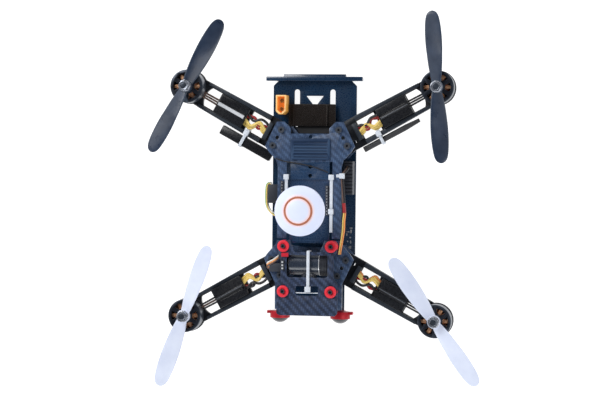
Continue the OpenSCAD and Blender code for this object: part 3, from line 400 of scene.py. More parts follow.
def wound_copper():
    material, tree, shader = new_tree("wound_copper")
    axes = node(tree, "ShaderNodeSeparateXYZ")
    link(tree, object_space(tree), axes.inputs[0])
    strands = maths(tree, "SINE", maths(tree, "MULTIPLY", axes.outputs["Z"], 2 * math.pi / (0.55 * MM)))
    shade = ramp(tree, noise(tree, 300, 3), [(0.35, (0.62, 0.28, 0.14)), (0.65, (0.9, 0.52, 0.3))])
    link(tree, shade, shader.inputs["Base Color"])
    shader.inputs["Metallic"].default_value = 0.5
    link(tree, spread(tree, noise(tree, 800, 2), 0.25, 0.4), shader.inputs["Roughness"])
    grained(tree, shader, strands, 0.5, 0.1)
    return material


def ribbed_nylon():
    """Cable-tie nylon: white, with the fine teeth of the strap moulded across it."""
    material, tree, shader = new_tree("tie_nylon")
    axes = node(tree, "ShaderNodeSeparateXYZ")
    link(tree, object_space(tree), axes.inputs[0])
    teeth = maths(tree, "SINE", maths(tree, "MULTIPLY", axes.outputs["Y"], 2 * math.pi / (1.1 * MM)))
    fine = noise(tree, 1500, 4)
    link(tree, ramp(tree, fine, [(0.35, (0.55, 0.60, 0.67)), (0.65, (0.66, 0.70, 0.76))]),
         shader.inputs["Base Color"])
    link(tree, spread(tree, fine, 0.35, 0.5), shader.inputs["Roughness"])
    shader.inputs["Subsurface Weight"].default_value = 0.1
    shader.inputs["Subsurface Radius"].default_value = (0.002, 0.002, 0.002)
    grained(tree, shader, teeth, 0.35, 0.12)
    return material


def glowing_cap(centre, ring_radius):
    """Milky plastic that takes a warm tint from the copper ring under its skin."""
    material, tree, shader = new_tree("antenna_milk")
    place = node(tree, "ShaderNodeVectorMath", operation="SUBTRACT")
    link(tree, object_space(tree), place.inputs[0])
    place.inputs[1].default_value = (centre[0], centre[1], 0)
    flat = node(tree, "ShaderNodeVectorMath", operation="MULTIPLY")
    link(tree, place.outputs[0], flat.inputs[0])
    flat.inputs[1].default_value = (1, 1, 0)
    reach = node(tree, "ShaderNodeVectorMath", operation="LENGTH")
    link(tree, flat.outputs[0], reach.inputs[0])
    off_ring = maths(tree, "ABSOLUTE", maths(tree, "SUBTRACT", reach.outputs["Value"], ring_radius))
    warmth = ramp(tree, maths(tree, "DIVIDE", off_ring, 4 * MM),
                  [(0.1, (1, 1, 1)), (0.75, (0, 0, 0))])
    body = ramp(tree, noise(tree, 30, 2), [(0.35, (0.66, 0.72, 0.93)), (0.65, (0.72, 0.77, 0.95))])
    link(tree, blended(tree, warmth, body, (0.93, 0.62, 0.55)), shader.inputs["Base Color"])
    link(tree, spread(tree, noise(tree, 900, 3), 0.32, 0.42), shader.inputs["Roughness"])
    shader.inputs["Specular IOR Level"].default_value = 0.35
    grained(tree, shader, noise(tree, 900, 3), 0.06)
    return material


def by_height(name, low, high, z_m, metal=0.9, gloss=(0.2, 0.35), blur=0.0001):
    """Two tones split at a height, such as a bright washer under a dark nut."""
    material, tree, shader = new_tree(name)
    axes = node(tree, "ShaderNodeSeparateXYZ")
    link(tree, object_space(tree), axes.inputs[0])
    share = node(tree, "ShaderNodeMapRange")
    share.inputs["From Min"].default_value = z_m - blur
    share.inputs["From Max"].default_value = z_m + blur
    link(tree, axes.outputs["Z"], share.inputs["Value"])
    fine = noise(tree, 1500, 4)
    colour = blended(tree, share.outputs["Result"], low, high)
    drift = ramp(tree, fine, [(0.3, (0.82, 0.82, 0.82)), (0.7, (1.1, 1.1, 1.1))])
    link(tree, blended(tree, 1.0, colour, drift, "MULTIPLY"), shader.inputs["Base Color"])
    link(tree, spread(tree, fine, *gloss), shader.inputs["Roughness"])
    shader.inputs["Metallic"].default_value = metal
    grained(tree, shader, fine, 0.08)
    return material


# The warp colour is brighter than the weft colour: a painted sheen on one direction of the same fibre.
CLAMP_CARBON = twill("clamp_carbon", (0.058, 0.102, 0.195), (0.034, 0.063, 0.128))
CAMERA_CARBON = twill("camera_carbon", (0.042, 0.064, 0.125), (0.018, 0.029, 0.06), 1.7)
BOARD = circuit_board("board_lacquer", (0.004, 0.026, 0.068), (0.008, 0.037, 0.09))
DECK = circuit_board("deck_lacquer", (0.014, 0.040, 0.095), (0.022, 0.056, 0.125), 190)
NYLON_WHITE = ribbed_nylon()
ring_low, ring_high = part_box("antenna_ring")
CAP = glowing_cap((ring_low + ring_high) / 2, (ring_high.x - ring_low.x) / 2 - 0.7 * MM)
WINDINGS = wound_copper()
nut_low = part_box("rear_left_nut")[0]
NUT = by_height("washer_and_nut", (0.62, 0.64, 0.7), (0.38, 0.41, 0.47), nut_low.z + 0.9 * MM)
# Painted highlight: the top 0.3 mm of the plug is painted lighter, as the light caught on its rim.
plug_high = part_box("power_plug")[1]
AMBER = by_height("amber_plug", (1.0, 0.5, 0.1), (0.95, 0.6, 0.25), plug_high.z - 0.3 * MM,
                  metal=0.0, gloss=(0.25, 0.38))
# Painted glow: the plug gives off light though it is no lamp, brightening its shadowed inside.
PLUG_GLOW = 0.12  # a studio aid: the clear plastic is brighter than its base colour allows
glow = AMBER.node_tree.nodes["Principled BSDF"].inputs
glow["Emission Color"].default_value = (1.0, 0.45, 0.1, 1)
glow["Emission Strength"].default_value = PLUG_GLOW
print("patterned finishes ready")

# %% [markdown]
# ## Rounded edges
# The frame's solids have knife edges, but sawn, moulded and turned parts never do, and a
# thin bright line along each edge is what makes them read as real. Each hard part is
# copied, its doubled corners merged, and its edges bevelled a fraction of a millimetre.

# %% Edge rounding
def as_piece(name, mesh, material, body, replaced=()):
    made = bpy.data.objects.new(name, mesh)
    bpy.context.scene.collection.objects.link(made)
    if material and not mesh.materials:
        mesh.materials.append(material)
    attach(made, body)
    if replaced:
        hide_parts(*replaced)
    return made


def settled(made):
    """The object's modifiers, worked out into a plain mesh."""
    bpy.context.view_layer.update()
    seen = made.evaluated_get(bpy.context.evaluated_depsgraph_get())
    mesh = bpy.data.meshes.new_from_object(seen, preserve_all_data_layers=True,
                                           depsgraph=bpy.context.evaluated_depsgraph_get())
    bpy.data.objects.remove(made)
    return mesh


def volume_of(mesh):
    work = bmesh.new()
    work.from_mesh(mesh)
    total = work.calc_volume(signed=True)
    work.free()
    return total


def rounded(part, width_mm, material, segments=2):
    work = bmesh.new()
    work.from_mesh(NODES[part].data)
    bmesh.ops.remove_doubles(work, verts=work.verts, dist=2e-6)
    bmesh.ops.dissolve_limit(work, angle_limit=math.radians(0.6), verts=work.verts,
                             edges=work.edges, use_dissolve_boundaries=False)
    mesh = bpy.data.meshes.new(part + "_rounded")
    work.to_mesh(mesh)
    work.free()
    before = volume_of(mesh)
    made = bpy.data.objects.new(part + "_work", mesh)
    bpy.context.scene.collection.objects.link(made)
    bevel = made.modifiers.new("edge", "BEVEL")
    bevel.width, bevel.segments = width_mm * MM, segments
    bevel.limit_method, bevel.angle_limit = "ANGLE", math.radians(38)
    bevel.use_clamp_overlap = True
    result = settled(made)
    change = volume_of(result) / before - 1
    if abs(change) > 0.06:
        print("  left as it was:", part, round(change, 3))
        dress(part, material)
        return NODES[part]
    result.shade_smooth()
    result.set_sharp_from_angle(angle=math.radians(30))
    result.materials.clear()
    result.name = part + "_rounded"
    return as_piece(part + "_rounded", result, material, BODY_OF[part], [part])


def dress(part, material):
    """A new finish on a node that stays."""
    mesh = NODES[part].data
    mesh.materials.clear()
    mesh.materials.append(material)


# %% Body parts that are rounded
for part, width, material in [
    ("base_board", 0.2, BOARD), ("lower_clamp_plates", 0.2, CLAMP_CARBON),
    ("rear_clamp_plate", 0.25, CLAMP_CARBON), ("front_clamp_plate", 0.25, CLAMP_CARBON),
    ("centre_deck", 0.25, DECK), ("centre_cover", 0.2, COVER), ("tail_board", 0.25, BOARD),
    ("power_plug", 0.25, AMBER), ("camera_plate", 0.25, CAMERA_CARBON),
    ("camera_bracket", 0.3, BLACK_PLASTIC), ("headlight_bezels", 0.25, ANODISED_RED),
    ("antenna_cap", 0.5, CAP), ("video_transmitter", 0.25, BLACK_PLASTIC),
    ("cable_ties", 0.3, NYLON_WHITE), ("body_connectors", 0.3, BLACK_PLASTIC),
    ("receiver", 0.7, HEAT_SHRINK), ("receiver_tie", 0.3, NYLON_WHITE),
    ("sleeve_tie", 0.3, NYLON_WHITE), ("camera_lens", 0.25, LENS),
]:
    rounded(part, width, material)
for part, material in [
    ("rubber_pads", RUBBER), ("flight_controller", BOARD), ("clamp_spacers", ANODISED_BLACK),
    ("screws", BLACK_STEEL), ("power_contacts", GOLD), ("headlight_domes", SMOKED),
    ("antenna_mast", SILVER), ("antenna_ring", COPPER_RING), ("antenna_sleeve", SLEEVE),
]:
    dress(part, material)
for corner in CORNERS:
    rounded(corner + "_arm", 0.35, ARM_NYLON)
    rounded(corner + "_esc", 0.7, HEAT_SHRINK, 3)
    rounded(corner + "_bell", 0.3, ANODISED_BLACK)
    rounded(corner + "_nut", 0.25, NUT)
    dress(corner + "_stator", BLACK_STEEL)

# %% [markdown]
# ## Turned and swept shapes
# A damper, a hub and a camera shell are turned shapes: one outline carried round an axis.
# A lead is a round strand carried along a smooth curve, because a soft sheath never bends
# sharply. Screw modifiers and curve objects could do both, but two small helpers that write
# the rings themselves give closed meshes whose points are exactly where they are wanted.

# %% Lathe and sweep
AXES = {"Z": (Vector((1, 0, 0)), Vector((0, 1, 0)), Vector((0, 0, 1))),
        "X": (Vector((0, 1, 0)), Vector((0, 0, 1)), Vector((1, 0, 0))),
        "-Y": (Vector((1, 0, 0)), Vector((0, 0, 1)), Vector((0, -1, 0)))}


def joined_rings(work, rings, wrap, tint):
    count = len(rings[0])
    pairs = list(zip(rings, rings[1:])) + ([(rings[-1], rings[0])] if wrap else [])
    for a, b in pairs:
        for k in range(count):
            face = work.faces.new((a[k], a[(k + 1) % count], b[(k + 1) % count], b[k]))
            face.smooth, face.material_index = True, tint


def turned(work, outline_mm, centre_m, axis="Z", sides=48, tint=0):
    """A closed outline of (radius, height) carried round an axis through the centre."""
    first, second, along = AXES[axis]
    rings = []
    for radius, height in outline_mm:
        ring = []
        for k in range(sides):
            angle = 2 * math.pi * k / sides
            place = radius * (math.cos(angle) * first + math.sin(angle) * second) + height * along
            ring.append(work.verts.new(centre_m + place * MM))
        rings.append(ring)
    joined_rings(work, rings, True, tint)


def smooth_route(points, steps=6):
    p = [Vector(q) for q in points]
    out = []
    for i in range(len(p) - 1):
        a, b, c, d = p[max(i - 1, 0)], p[i], p[i + 1], p[min(i + 2, len(p) - 1)]
        for k in range(steps):
            t = k / steps
            out.append(0.5 * (2 * b + (c - a) * t + (2 * a - 5 * b + 4 * c - d) * t * t
                              + (3 * b - a - 3 * c + d) * t * t * t))
    return out + [p[-1]]


def swept(work, route_mm, radius_mm, tint=0, sides=10, steps=6):
    path = smooth_route(route_mm, steps)
    rings, side = [], None
    for i, place in enumerate(path):
        ahead = (path[min(i + 1, len(path) - 1)] - path[max(i - 1, 0)]).normalized()
        start = side or ahead.orthogonal()
        side = (start - ahead * start.dot(ahead)).normalized()
        other = ahead.cross(side)
        ring = []
        for k in range(sides):
            angle = 2 * math.pi * k / sides
            spoke = radius_mm * (math.cos(angle) * side + math.sin(angle) * other)
            ring.append(work.verts.new((place + spoke) * MM))
        rings.append(ring)
    joined_rings(work, rings, False, tint)
    for ring in (rings[0], rings[-1]):
        work.faces.new(ring).material_index = tint


def block(work, low_mm, high_mm, tint=0):
    made = bmesh.ops.create_cube(work, size=1)["verts"]
    low, high = Vector(low_mm), Vector(high_mm)
    for v in made:
        v.co = Vector([low[k] + (v.co[k] + 0.5) * (high[k] - low[k]) for k in range(3)]) * MM
    for face in {f for v in made for f in v.link_faces}:
        face.material_index = tint
    return made


def finished_mesh(work, name, materials, sharp=40):
    bmesh.ops.recalc_face_normals(work, faces=work.faces)
    mesh = bpy.data.meshes.new(name)
    work.to_mesh(mesh)
    work.free()
    mesh.shade_smooth()
    mesh.set_sharp_from_angle(angle=math.radians(sharp))
    for material in materials:
        mesh.materials.append(material)
    return mesh


JOINT_AT = {j["name"]: Vector(j["pos_m"]) for j in frame["record"]["behaviour"]["joints"]}
print("motor shafts at", [tuple(round(c * 1000, 1) for c in JOINT_AT[n + "_spin"]) for n in CORNERS])

# %% [markdown]
# ## Propellers
# A moulded blade is an aerofoil that turns flatter toward its tip: near the hub the air meets
# it steeply, and at the tip almost edge on. Many thin sections set along the blade and
# joined give that twist smoothly. The front pair and the rear pair each come in two hands.

# %% Propellers
BLADE_CHORD, BLADE_TIP = 15.1, 63.4
BLADES = {"rear_left": (61.7, 1), "rear_right": (94.4, -1),
          "front_left": (70.7, -1), "front_right": (125.0, 1)}


def propeller(corner):
    angle, hand = BLADES[corner]
    low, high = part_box(corner + "_prop")
    centre = JOINT_AT[corner + "_spin"].copy()
    centre.z = low.z
    work = bmesh.new()
    turned(work, [(2.56, 0), (4.9, 0), (5.4, 0.5), (5.45, 3.0), (5.45, 5.5), (4.9, 6.35), (2.56, 6.35)],
           centre)
    tip, root, count, around = BLADE_TIP, 4.0, 44, 20
    for half in (0, 180):
        spin = Matrix.Rotation(math.radians(angle + half), 3, "Z")
        rings = []
        for i in range(count + 1):
            s = 1 - (1 - i / count) ** 1.35
            x = root + (tip - root) * s
            taper = (0.55 + 1.45 * s - 1.35 * s * s) / 0.939
            chord = BLADE_CHORD * taper * math.sqrt(max(0.012, 1 - s ** 22))
            thick = 1.1 * (1 - 0.62 * s) * (1 if s < 0.97 else 0.7)
            steep = hand * min(math.radians(24), math.atan(76 / (2 * math.pi * max(x, 12))))
            ring = []
            for k in range(around):
                t = 2 * math.pi * k / around
                across = -0.5 * math.cos(t)
                rise = math.sin(t) * (1.0 if math.sin(t) > 0 else 0.5)
                across_mm, rise_mm = across * chord, rise * thick * 0.97
                place = Vector((x, hand * across_mm * math.cos(steep) - rise_mm * math.sin(steep),
                                across_mm * math.sin(abs(steep)) + rise_mm * math.cos(steep)
                                + 3.2))
                ring.append(work.verts.new(centre + spin @ place * MM))
            rings.append(ring)
        joined_rings(work, rings, False, 0)
        work.faces.new(rings[0])
        work.faces.new(rings[-1])
    colour = PROP_BLACK if corner.startswith("rear") else PROP_WHITE
    mesh = finished_mesh(work, corner + "_propeller", [colour], 50)
    name = corner + "_prop"
    return as_piece(corner + "_propeller", mesh, None, BODY_OF[name], [name])


for corner in CORNERS:
    made = propeller(corner)
    print(made.name, "faces:", len(made.data.polygons))

# %% [markdown]
# ## Leads in the arms
# Each speed controller takes power and signal from the body through a bundle that curls in
# the open root of the arm, and feeds its motor through three stiffer leads. The routes are
# drawn once in the arm's own frame and mirrored to each corner, with other colours and
# swings at each one, because no two bundles lie alike. Known fault: the strands are too thick
# for their spacing, and pass through each other where they cross.

# %% Arm leads
CLAMP = Vector((28.0, 54.6, 0))
motor = JOINT_AT["rear_right_spin"] / MM
ARM_ANGLE = math.atan2(motor.y - CLAMP.y, motor.x - CLAMP.x)
ARM_LENGTH = math.hypot(motor.x - CLAMP.x, motor.y - CLAMP.y)
ARM_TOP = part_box("rear_right_stator")[0].z / MM


def on_arm(corner, x, y, z):
    sx, sy = CORNERS[corner]
    c, s = math.cos(ARM_ANGLE), math.sin(ARM_ANGLE)
    return (sx * (CLAMP.x + x * c - y * s), sy * (CLAMP.y + x * s + y * c), ARM_TOP + z)


def leads_piece(name, body, leads, replaced):
    """One piece from (colour, route, radius) leads, each colour its own material."""
    colours = sorted({colour for colour, _, _ in leads})
    work = bmesh.new()
    for colour, route, radius in leads:
        swept(work, route, radius, colours.index(colour))
    mesh = finished_mesh(work, name, [LEAD[c] for c in colours], 60)
    return as_piece(name, mesh, None, body, replaced)


STRAND_RADIUS, MOTOR_LEAD_RADIUS = 1.15, 0.85
BUNDLES = {
    "rear_left": [("yellow", -5.0, 3.6), ("yellow", -2.6, 3.0), ("yellow", -0.6, 3.4), ("red", 1.4, -3.4),
                  ("red", 3.6, -2.4), ("black", 5.2, 2.0)],
    "rear_right": [("yellow", -4.8, 3.2), ("yellow", -2.6, 3.0), ("yellow", -0.8, 2.6), ("red", 1.2, -3.4),
                   ("red", 3.4, -2.6), ("black", 5.0, -2.0)],
    "front_left": [("yellow", -4.8, 4.2), ("yellow", -2.8, 3.4), ("yellow", -1.0, 3.0), ("red", 1.2, -3.8),
                   ("black", 3.2, -3.0), ("black", 5.2, 1.6)],
    "front_right": [("orange", -4.6, 4.4), ("yellow", -2.6, 3.6), ("yellow", -0.8, 2.8), ("black", 1.2, -3.4),
                    ("red", 3.2, -2.6), ("black", 5.0, 1.8)],
}
MOTOR_LEADS = {"rear_left": ("brown", "brown", "brown"), "rear_right": ("black", "black", "black"),
               "front_left": ("black", "brown", "black"), "front_right": ("black", "black", "black")}
for corner, bundle in BUNDLES.items():
    leads = []
    for order, (colour, side, swing) in enumerate(bundle):
        height = 0.6 + 1.0 * (order % 3)
        leads.append((colour, [on_arm(corner, *q) for q in [
            (13.4, side * 0.8, height), (17.0, side * 0.9 + swing * 0.5, height + 0.5),
            (21.5, side * 0.7 + swing, height + 0.9), (26.5, side * 0.6 - swing * 0.8, height + 0.6),
            (30.5, side * 0.75 - swing * 0.5, height + 0.2), (34.2, side * 0.9, height)]], STRAND_RADIUS))
    for k, colour in enumerate(MOTOR_LEADS[corner]):
        leads.append((colour, [on_arm(corner, *q) for q in [
            (61.0, 2.2 * (k - 1), 1.6), (64.0, 2.1 * (k - 1), 1.7), (ARM_LENGTH - 17, 2.0 * (k - 1), 1.2),
            (ARM_LENGTH - 9.8, 1.9 * (k - 1), 1.0)]], MOTOR_LEAD_RADIUS))
    leads_piece(corner + "_arm_leads", BODY_OF[corner + "_leads"], leads,
                [corner + "_leads"])
print("arm bundles:", {c: len(b) + 3 for c, b in BUNDLES.items()})

# %% [markdown]
# ## Leads on the body
# A loop of three thin leads leaves the side connector and dives under the deck, two leads
# run forward along the right rail with a shrunk joint halfway, a servo lead curls in
# front, and one aerial wire crosses the deck. All of them are held by the body.

# %% Body leads
PLATE_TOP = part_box("rear_clamp_plate")[1].z / MM
side_loop = [(-36.4, 14, 12), (-37.4, 16.2, 12.2), (-39.4, 14, 12.6), (-39.9, 6, 13), (-39.5, -1, 13.6),
             (-37.6, -6, 14.6), (-33.4, -10, 16.6), (-26, -12.4, 18.4), (-17.4, -12, 19.4)]
right_start = [(30.6, 31, -12), (30.2, 28, -4), (28.6, 25, 0.6), (27.3, 20.2, 1.2), (28.2, 9, 1.2),
               (28.9, -1, 1.2)]
right_end = [(28.9, -1, 1.2), (29.6, -8, 1.3), (29, -15, 1.3), (28.8, -22.5, 1.3), (27.4, -32, 1.3),
             (26.4, -38, 1.2), (25.6, -43, 0.9)]
servo_run = [(-30.5, -54.6, 1.7), (-34, -54.4, 2.2), (-34.6, -52.2, 3), (-30.6, -50, 3.6),
             (-27.6, -48, 3.4), (-24.8, -45.6, 2.2)]
aerial = [(-29, 37, 0.6), (-20, 34.4, 1), (-8, 32.6, 0.8), (4, 30, 0.8), (16, 25.6, 1)]


def raised(route, dx=0, dy=0, dz=0):
    return [(x + dx, y + dy, z + dz) for x, y, z in route]


leads = [("green", raised(side_loop, -0.7, 0, -0.4), 0.6), ("yellow", raised(side_loop, 0.3, -0.6, 0.9), 0.6),
         ("white", raised(side_loop, 0.9, 0.5, -0.9), 0.55),
         ("brown", raised(right_start, 0, 0, PLATE_TOP), 0.65),
         ("black", raised(right_start, 1.5, 0, PLATE_TOP), 0.65),
         ("yellow", raised(right_end, 0, 0, PLATE_TOP), 0.65),
         ("orange", raised(right_end, 1.4, 0, PLATE_TOP), 0.6),
         ("red", [(29.5, 0, PLATE_TOP + 1.5), (30, -4, PLATE_TOP + 1.7), (30.2, -8, PLATE_TOP + 1.6)], 1.5),
         ("brown", raised(servo_run, 0, -1.3, PLATE_TOP), 0.55),
         ("orange", raised(servo_run, 0, 0, PLATE_TOP), 0.55),
         ("white", raised(servo_run, 0, 1.3, PLATE_TOP), 0.55),
         ("black", raised(aerial, 0, 0, PLATE_TOP), 0.5)]
leads_piece("body_lead_set", "airframe", leads, ["body_leads"])
print("leads on the body:", len(leads))

# %% [markdown]
# ## Camera and its dampers
# The camera is a turned shell with a bright collar and a knurled grip at its right end, and
# a short barrel in front. The bright silver collar is a painted highlight, standing in for the light
# caught on the edge of the dark grip. Four soft rubber dampers carry its plate: each is a pair of
# flanges with a waist between them that flexes. All are turned shapes.

# %% Camera shell, barrel and glass
tilt = JOINT_AT["camera_tilt"]
shell = [(1.06, -16.5), (9.0, -16.5), (9.9, -15.6), (9.9, 9.3), (1.06, 9.3)]
# Painted highlight: a thin bright metal ring where the grip's edge catches the light.
highlight_collar = [(1.06, 9.3), (10.2, 9.3), (10.2, 9.75), (1.06, 9.75)]
grip = [(1.06, 9.75), (9.6, 9.8)]
for k in range(5):
    start = 10.0 + 1.2 * k
    grip += [(10.45, start), (10.45, start + 0.75), (9.95, start + 0.8), (9.95, start + 1.15)]
grip += [(10.3, 16.0), (9.8, 16.5), (1.06, 16.5)]
work = bmesh.new()
turned(work, shell, tilt, "X", 72)
turned(work, highlight_collar, tilt, "X", 72, 1)
turned(work, grip, tilt, "X", 72, 2)
turned(work, [(5.5, 6), (6.5, 6), (6.5, 11.8), (6.1, 12.4), (5.5, 12.4)], tilt, "-Y", 56)
shell_mesh = finished_mesh(work, "camera_shell", [CAMERA_SHELL, PIN_METAL, BLACK_PLASTIC], 32)
made = as_piece("camera_shell", shell_mesh, None, "camera", ["camera_body"])
work = bmesh.new()
turned(work, [(0.01, 13.75), (1.6, 13.65), (3.0, 13.35), (4.38, 12.85), (4.38, 12.6), (0.01, 12.6)],
       tilt, "-Y", 40)
bmesh.ops.remove_doubles(work, verts=work.verts, dist=0.00002)
as_piece("camera_glass", finished_mesh(work, "camera_glass", [LENS], 60), None, "camera")
print("camera shell faces:", len(made.data.polygons))

# %% Dampers
low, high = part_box("camera_dampers")
middle = (low + high) / 2
FLANGE_RADIUS = 5.0
half_x, half_y = (high.x - low.x) / 2 / MM, (high.y - low.y) / 2 / MM
reach = Vector((half_x - FLANGE_RADIUS, half_y - FLANGE_RADIUS, 0))
damper = [(1.62, 0.05), (4.4, 0.05), (4.95, 0.5), (4.95, 2.3), (3.9, 3.1), (4.95, 3.9), (4.98, 5.9),
          (4.5, 6.35), (2.82, 6.4), (2.82, 8.45), (4.4, 8.45), (4.98, 8.9), (4.98, 9.8), (4.4, 10.35),
          (2.9, 10.3), (2.2, 9.9), (1.62, 9.4)]
work = bmesh.new()
for sx in (-1, 1):
    for sy in (-1, 1):
        centre = Vector((middle.x + sx * reach.x * MM, middle.y + sy * reach.y * MM, low.z))
        turned(work, damper, centre)
as_piece("damper_set", finished_mesh(work, "damper_set", [DAMPER_RED], 50), None, "airframe",
         ["camera_dampers"])
print("dampers at +-", round(reach.x, 1), "and", round(middle.y / MM, 1), "+-", round(reach.y, 1))

# %% [markdown]
# ## Battery strap
# The strap is soft hook-and-loop webbing: it passes under the board, comes up through two
# slots, and closes over itself above the battery's rubber pad. A rounded band is carried
# along each stretch, with a slight wave so that it looks woven and not moulded. Geometry
# Nodes then scatter short loops of pile over the top, with a fixed seed.

# %% Strap bands
strap_low, strap_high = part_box("battery_strap")
STRAP_Y = (strap_low.y + strap_high.y) / 2 / MM
STRAP_HALF = (strap_high.y - strap_low.y) / 2 / MM


def band(work, route, thick, half, wave=0.12, tint=0):
    """A soft flat band: route of (x, z), rounded at its edges and ends."""
    path = smooth_route([(x, 0, z) for x, z in route], 8)
    rings, last = [], len(path) - 1
    for i, place in enumerate(path):
        ahead = (path[min(i + 1, last)] - path[max(i - 1, 0)]).normalized()
        up = Vector((-ahead.z, 0, ahead.x))
        end = min(i, last - i)
        slim = 0.55 if end == 0 else 0.9 if end == 1 else 1
        ring = []
        for k in range(36):
            t = 2 * math.pi * k / 36
            c, s = math.cos(t), math.sin(t)
            y = math.copysign(abs(c) ** 0.32, c) * (half - (0.3 if end == 0 else 0))
            lift = math.copysign(abs(s) ** 0.6, s) * thick / 2 * slim
            ripple = wave * math.sin(0.9 * place.x + 0.5 * y) * (1 if s > 0 else 0) * slim
            shifted = place + up * (lift - abs(ripple)) + Vector((0, STRAP_Y + y, 0))
            ring.append(work.verts.new(shifted * MM))
        rings.append(ring)
    joined_rings(work, rings, False, tint)
    for ring in (rings[0], rings[-1]):
        work.faces.new(ring).material_index = tint


base = strap_low.z / MM
flap = strap_high.z / MM - 2.7
work = bmesh.new()
band(work, [(-15.35, flap), (-15.35, base + 3), (-14.2, base + 0.95), (0, base + 0.95), (14.2, base + 0.95),
            (15.35, base + 3), (15.35, flap)], 1.6, STRAP_HALF - 0.1, 0)
band(work, [(-22.0, flap), (-16, flap), (-8, flap), (0, flap), (8, flap), (18.4, flap)], 1.75,
     STRAP_HALF - 0.05)
band(work, [(-18.3, flap + 1.75), (-10, flap + 1.8), (0, flap + 1.8), (11.6, flap + 1.75)], 1.7,
     STRAP_HALF - 0.3)
strap_mesh = finished_mesh(work, "strap_band", [STRAP_BROWN], 50)
as_piece("strap_band", strap_mesh, None, "airframe", ["battery_strap"])
print("strap faces:", len(strap_mesh.polygons))

# %% Growing things in rows and scatters
def new_growth(name, inputs):
    group = bpy.data.node_groups.new(name, "GeometryNodeTree")
    for label, kind in inputs:
        group.interface.new_socket(label, in_out="INPUT", socket_type="NodeSocket" + kind)
    group.interface.new_socket("Geometry", in_out="OUTPUT", socket_type="NodeSocketGeometry")
    return group, group.nodes.new("NodeGroupInput").outputs


def grow(group, last, name, values, material, start_mesh=None):
    """Ends the tree, feeds it, and returns what it grew as a plain mesh."""
    real = group.nodes.new("GeometryNodeRealizeInstances")
    paint = group.nodes.new("GeometryNodeSetMaterial")
    paint.inputs["Material"].default_value = material
    group.links.new(last, real.inputs[0])
    group.links.new(real.outputs[0], paint.inputs["Geometry"])
    group.links.new(paint.outputs[0], group.nodes.new("NodeGroupOutput").inputs[0])
    host = bpy.data.objects.new(name + "_host", start_mesh or bpy.data.meshes.new(name + "_seed"))
    bpy.context.scene.collection.objects.link(host)
    growth = host.modifiers.new("growth", "NODES")
    growth.node_group = group
    for item in group.interface.items_tree:
        if item.in_out == "INPUT" and item.name in values:
            growth[item.identifier] = values[item.name]
    mesh = settled(host)
    mesh.name = name
    if not mesh.materials:
        mesh.materials.append(material)
    return mesh


def made_node(group, kind, feeds=None, **settings):
    made = group.nodes.new(kind)
    for key, value in settings.items():
        setattr(made, key, value)
    for socket, value in (feeds or {}).items():
        if isinstance(value, bpy.types.NodeSocket):
            group.links.new(value, made.inputs[socket])
        else:
            made.inputs[socket].default_value = value
    return made


# %% Pile on the strap
group, given = new_growth("strap_pile", [("Geometry", "Geometry"), ("Density", "Float"),
                                         ("Length", "Float")])
spots = made_node(group, "GeometryNodeDistributePointsOnFaces",
                  {"Mesh": given["Geometry"], "Density": given["Density"], "Seed": 11})
hair = made_node(group, "GeometryNodeMeshCone",
                 {"Vertices": 4, "Radius Top": 0.00003, "Radius Bottom": 0.00011,
                  "Depth": given["Length"]}, fill_type="NONE")
lean = made_node(group, "FunctionNodeRandomValue", {0: (-0.9, -0.9, 0.0), 1: (0.9, 0.9, 6.28), "Seed": 3},
                 data_type="FLOAT_VECTOR")
placed = made_node(group, "GeometryNodeInstanceOnPoints", {"Points": spots.outputs["Points"],
                                                           "Instance": hair.outputs["Mesh"],
                                                           "Rotation": lean.outputs[0]})
top_faces = strap_mesh.copy()
work = bmesh.new()
work.from_mesh(top_faces)
hidden = [f for f in work.faces if f.normal.z < 0.5 or f.calc_center_median().z < flap * MM]
bmesh.ops.delete(work, geom=hidden, context="FACES")
work.to_mesh(top_faces)
work.free()
pile = grow(group, placed.outputs[0], "strap_pile", {"Density": 4.2e6, "Length": 0.00045},
            STRAP_BROWN, top_faces)
as_piece("strap_pile", pile, None, "airframe")
print("pile faces:", len(pile.polygons))

# %% [markdown]
# ## Windings, pins and stitches
# Twelve wound coils stand in a ring in every motor, pins stand in rows on the headers, and
# stitches close the strap. All of them repeat by rule, so each kind is one small node
# tree: a ring or a line of points, one instance on each, then realised.

# %% Motor windings
COILS = 12
bell_base = ARM_TOP + 2.9


def windings(corner):
    group, given = new_growth("coil_ring", [("Coils", "Int"), ("Ring radius", "Float"),
                                            ("Coil size", "Vector")])
    ring = made_node(group, "GeometryNodeMeshCircle",
                     {"Vertices": given["Coils"], "Radius": given["Ring radius"]})
    block_mesh = made_node(group, "GeometryNodeMeshCube",
                           {"Size": given["Coil size"], "Vertices X": 4, "Vertices Y": 3, "Vertices Z": 5})
    soft = made_node(group, "GeometryNodeSubdivisionSurface",
                     {"Mesh": block_mesh.outputs["Mesh"], "Level": 2})
    order = made_node(group, "GeometryNodeInputIndex")
    share = made_node(group, "ShaderNodeMath", {0: order.outputs[0], 1: 2 * math.pi / COILS},
                      operation="MULTIPLY")
    turn = made_node(group, "ShaderNodeCombineXYZ", {"Z": share.outputs[0]})
    placed = made_node(group, "GeometryNodeInstanceOnPoints", {"Points": ring.outputs["Mesh"],
                                                               "Instance": soft.outputs["Mesh"],
                                                               "Rotation": turn.outputs[0]})
    where = JOINT_AT[corner + "_spin"]
    middle_z = (bell_base + 5.9) * MM
    moved = made_node(group, "GeometryNodeTransform",
                      {"Geometry": placed.outputs[0], "Translation": (where.x, where.y, middle_z)})
    mesh = grow(group, moved.outputs[0], corner + "_windings",
                {"Coils": COILS, "Ring radius": 0.0087, "Coil size": [0.0062, 0.0039, 0.0100]}, WINDINGS)
    return as_piece(corner + "_windings", mesh, None, BODY_OF[corner + "_stator"])


for corner in CORNERS:
    made = windings(corner)
print("coils a motor:", COILS, "faces:", len(made.data.polygons))

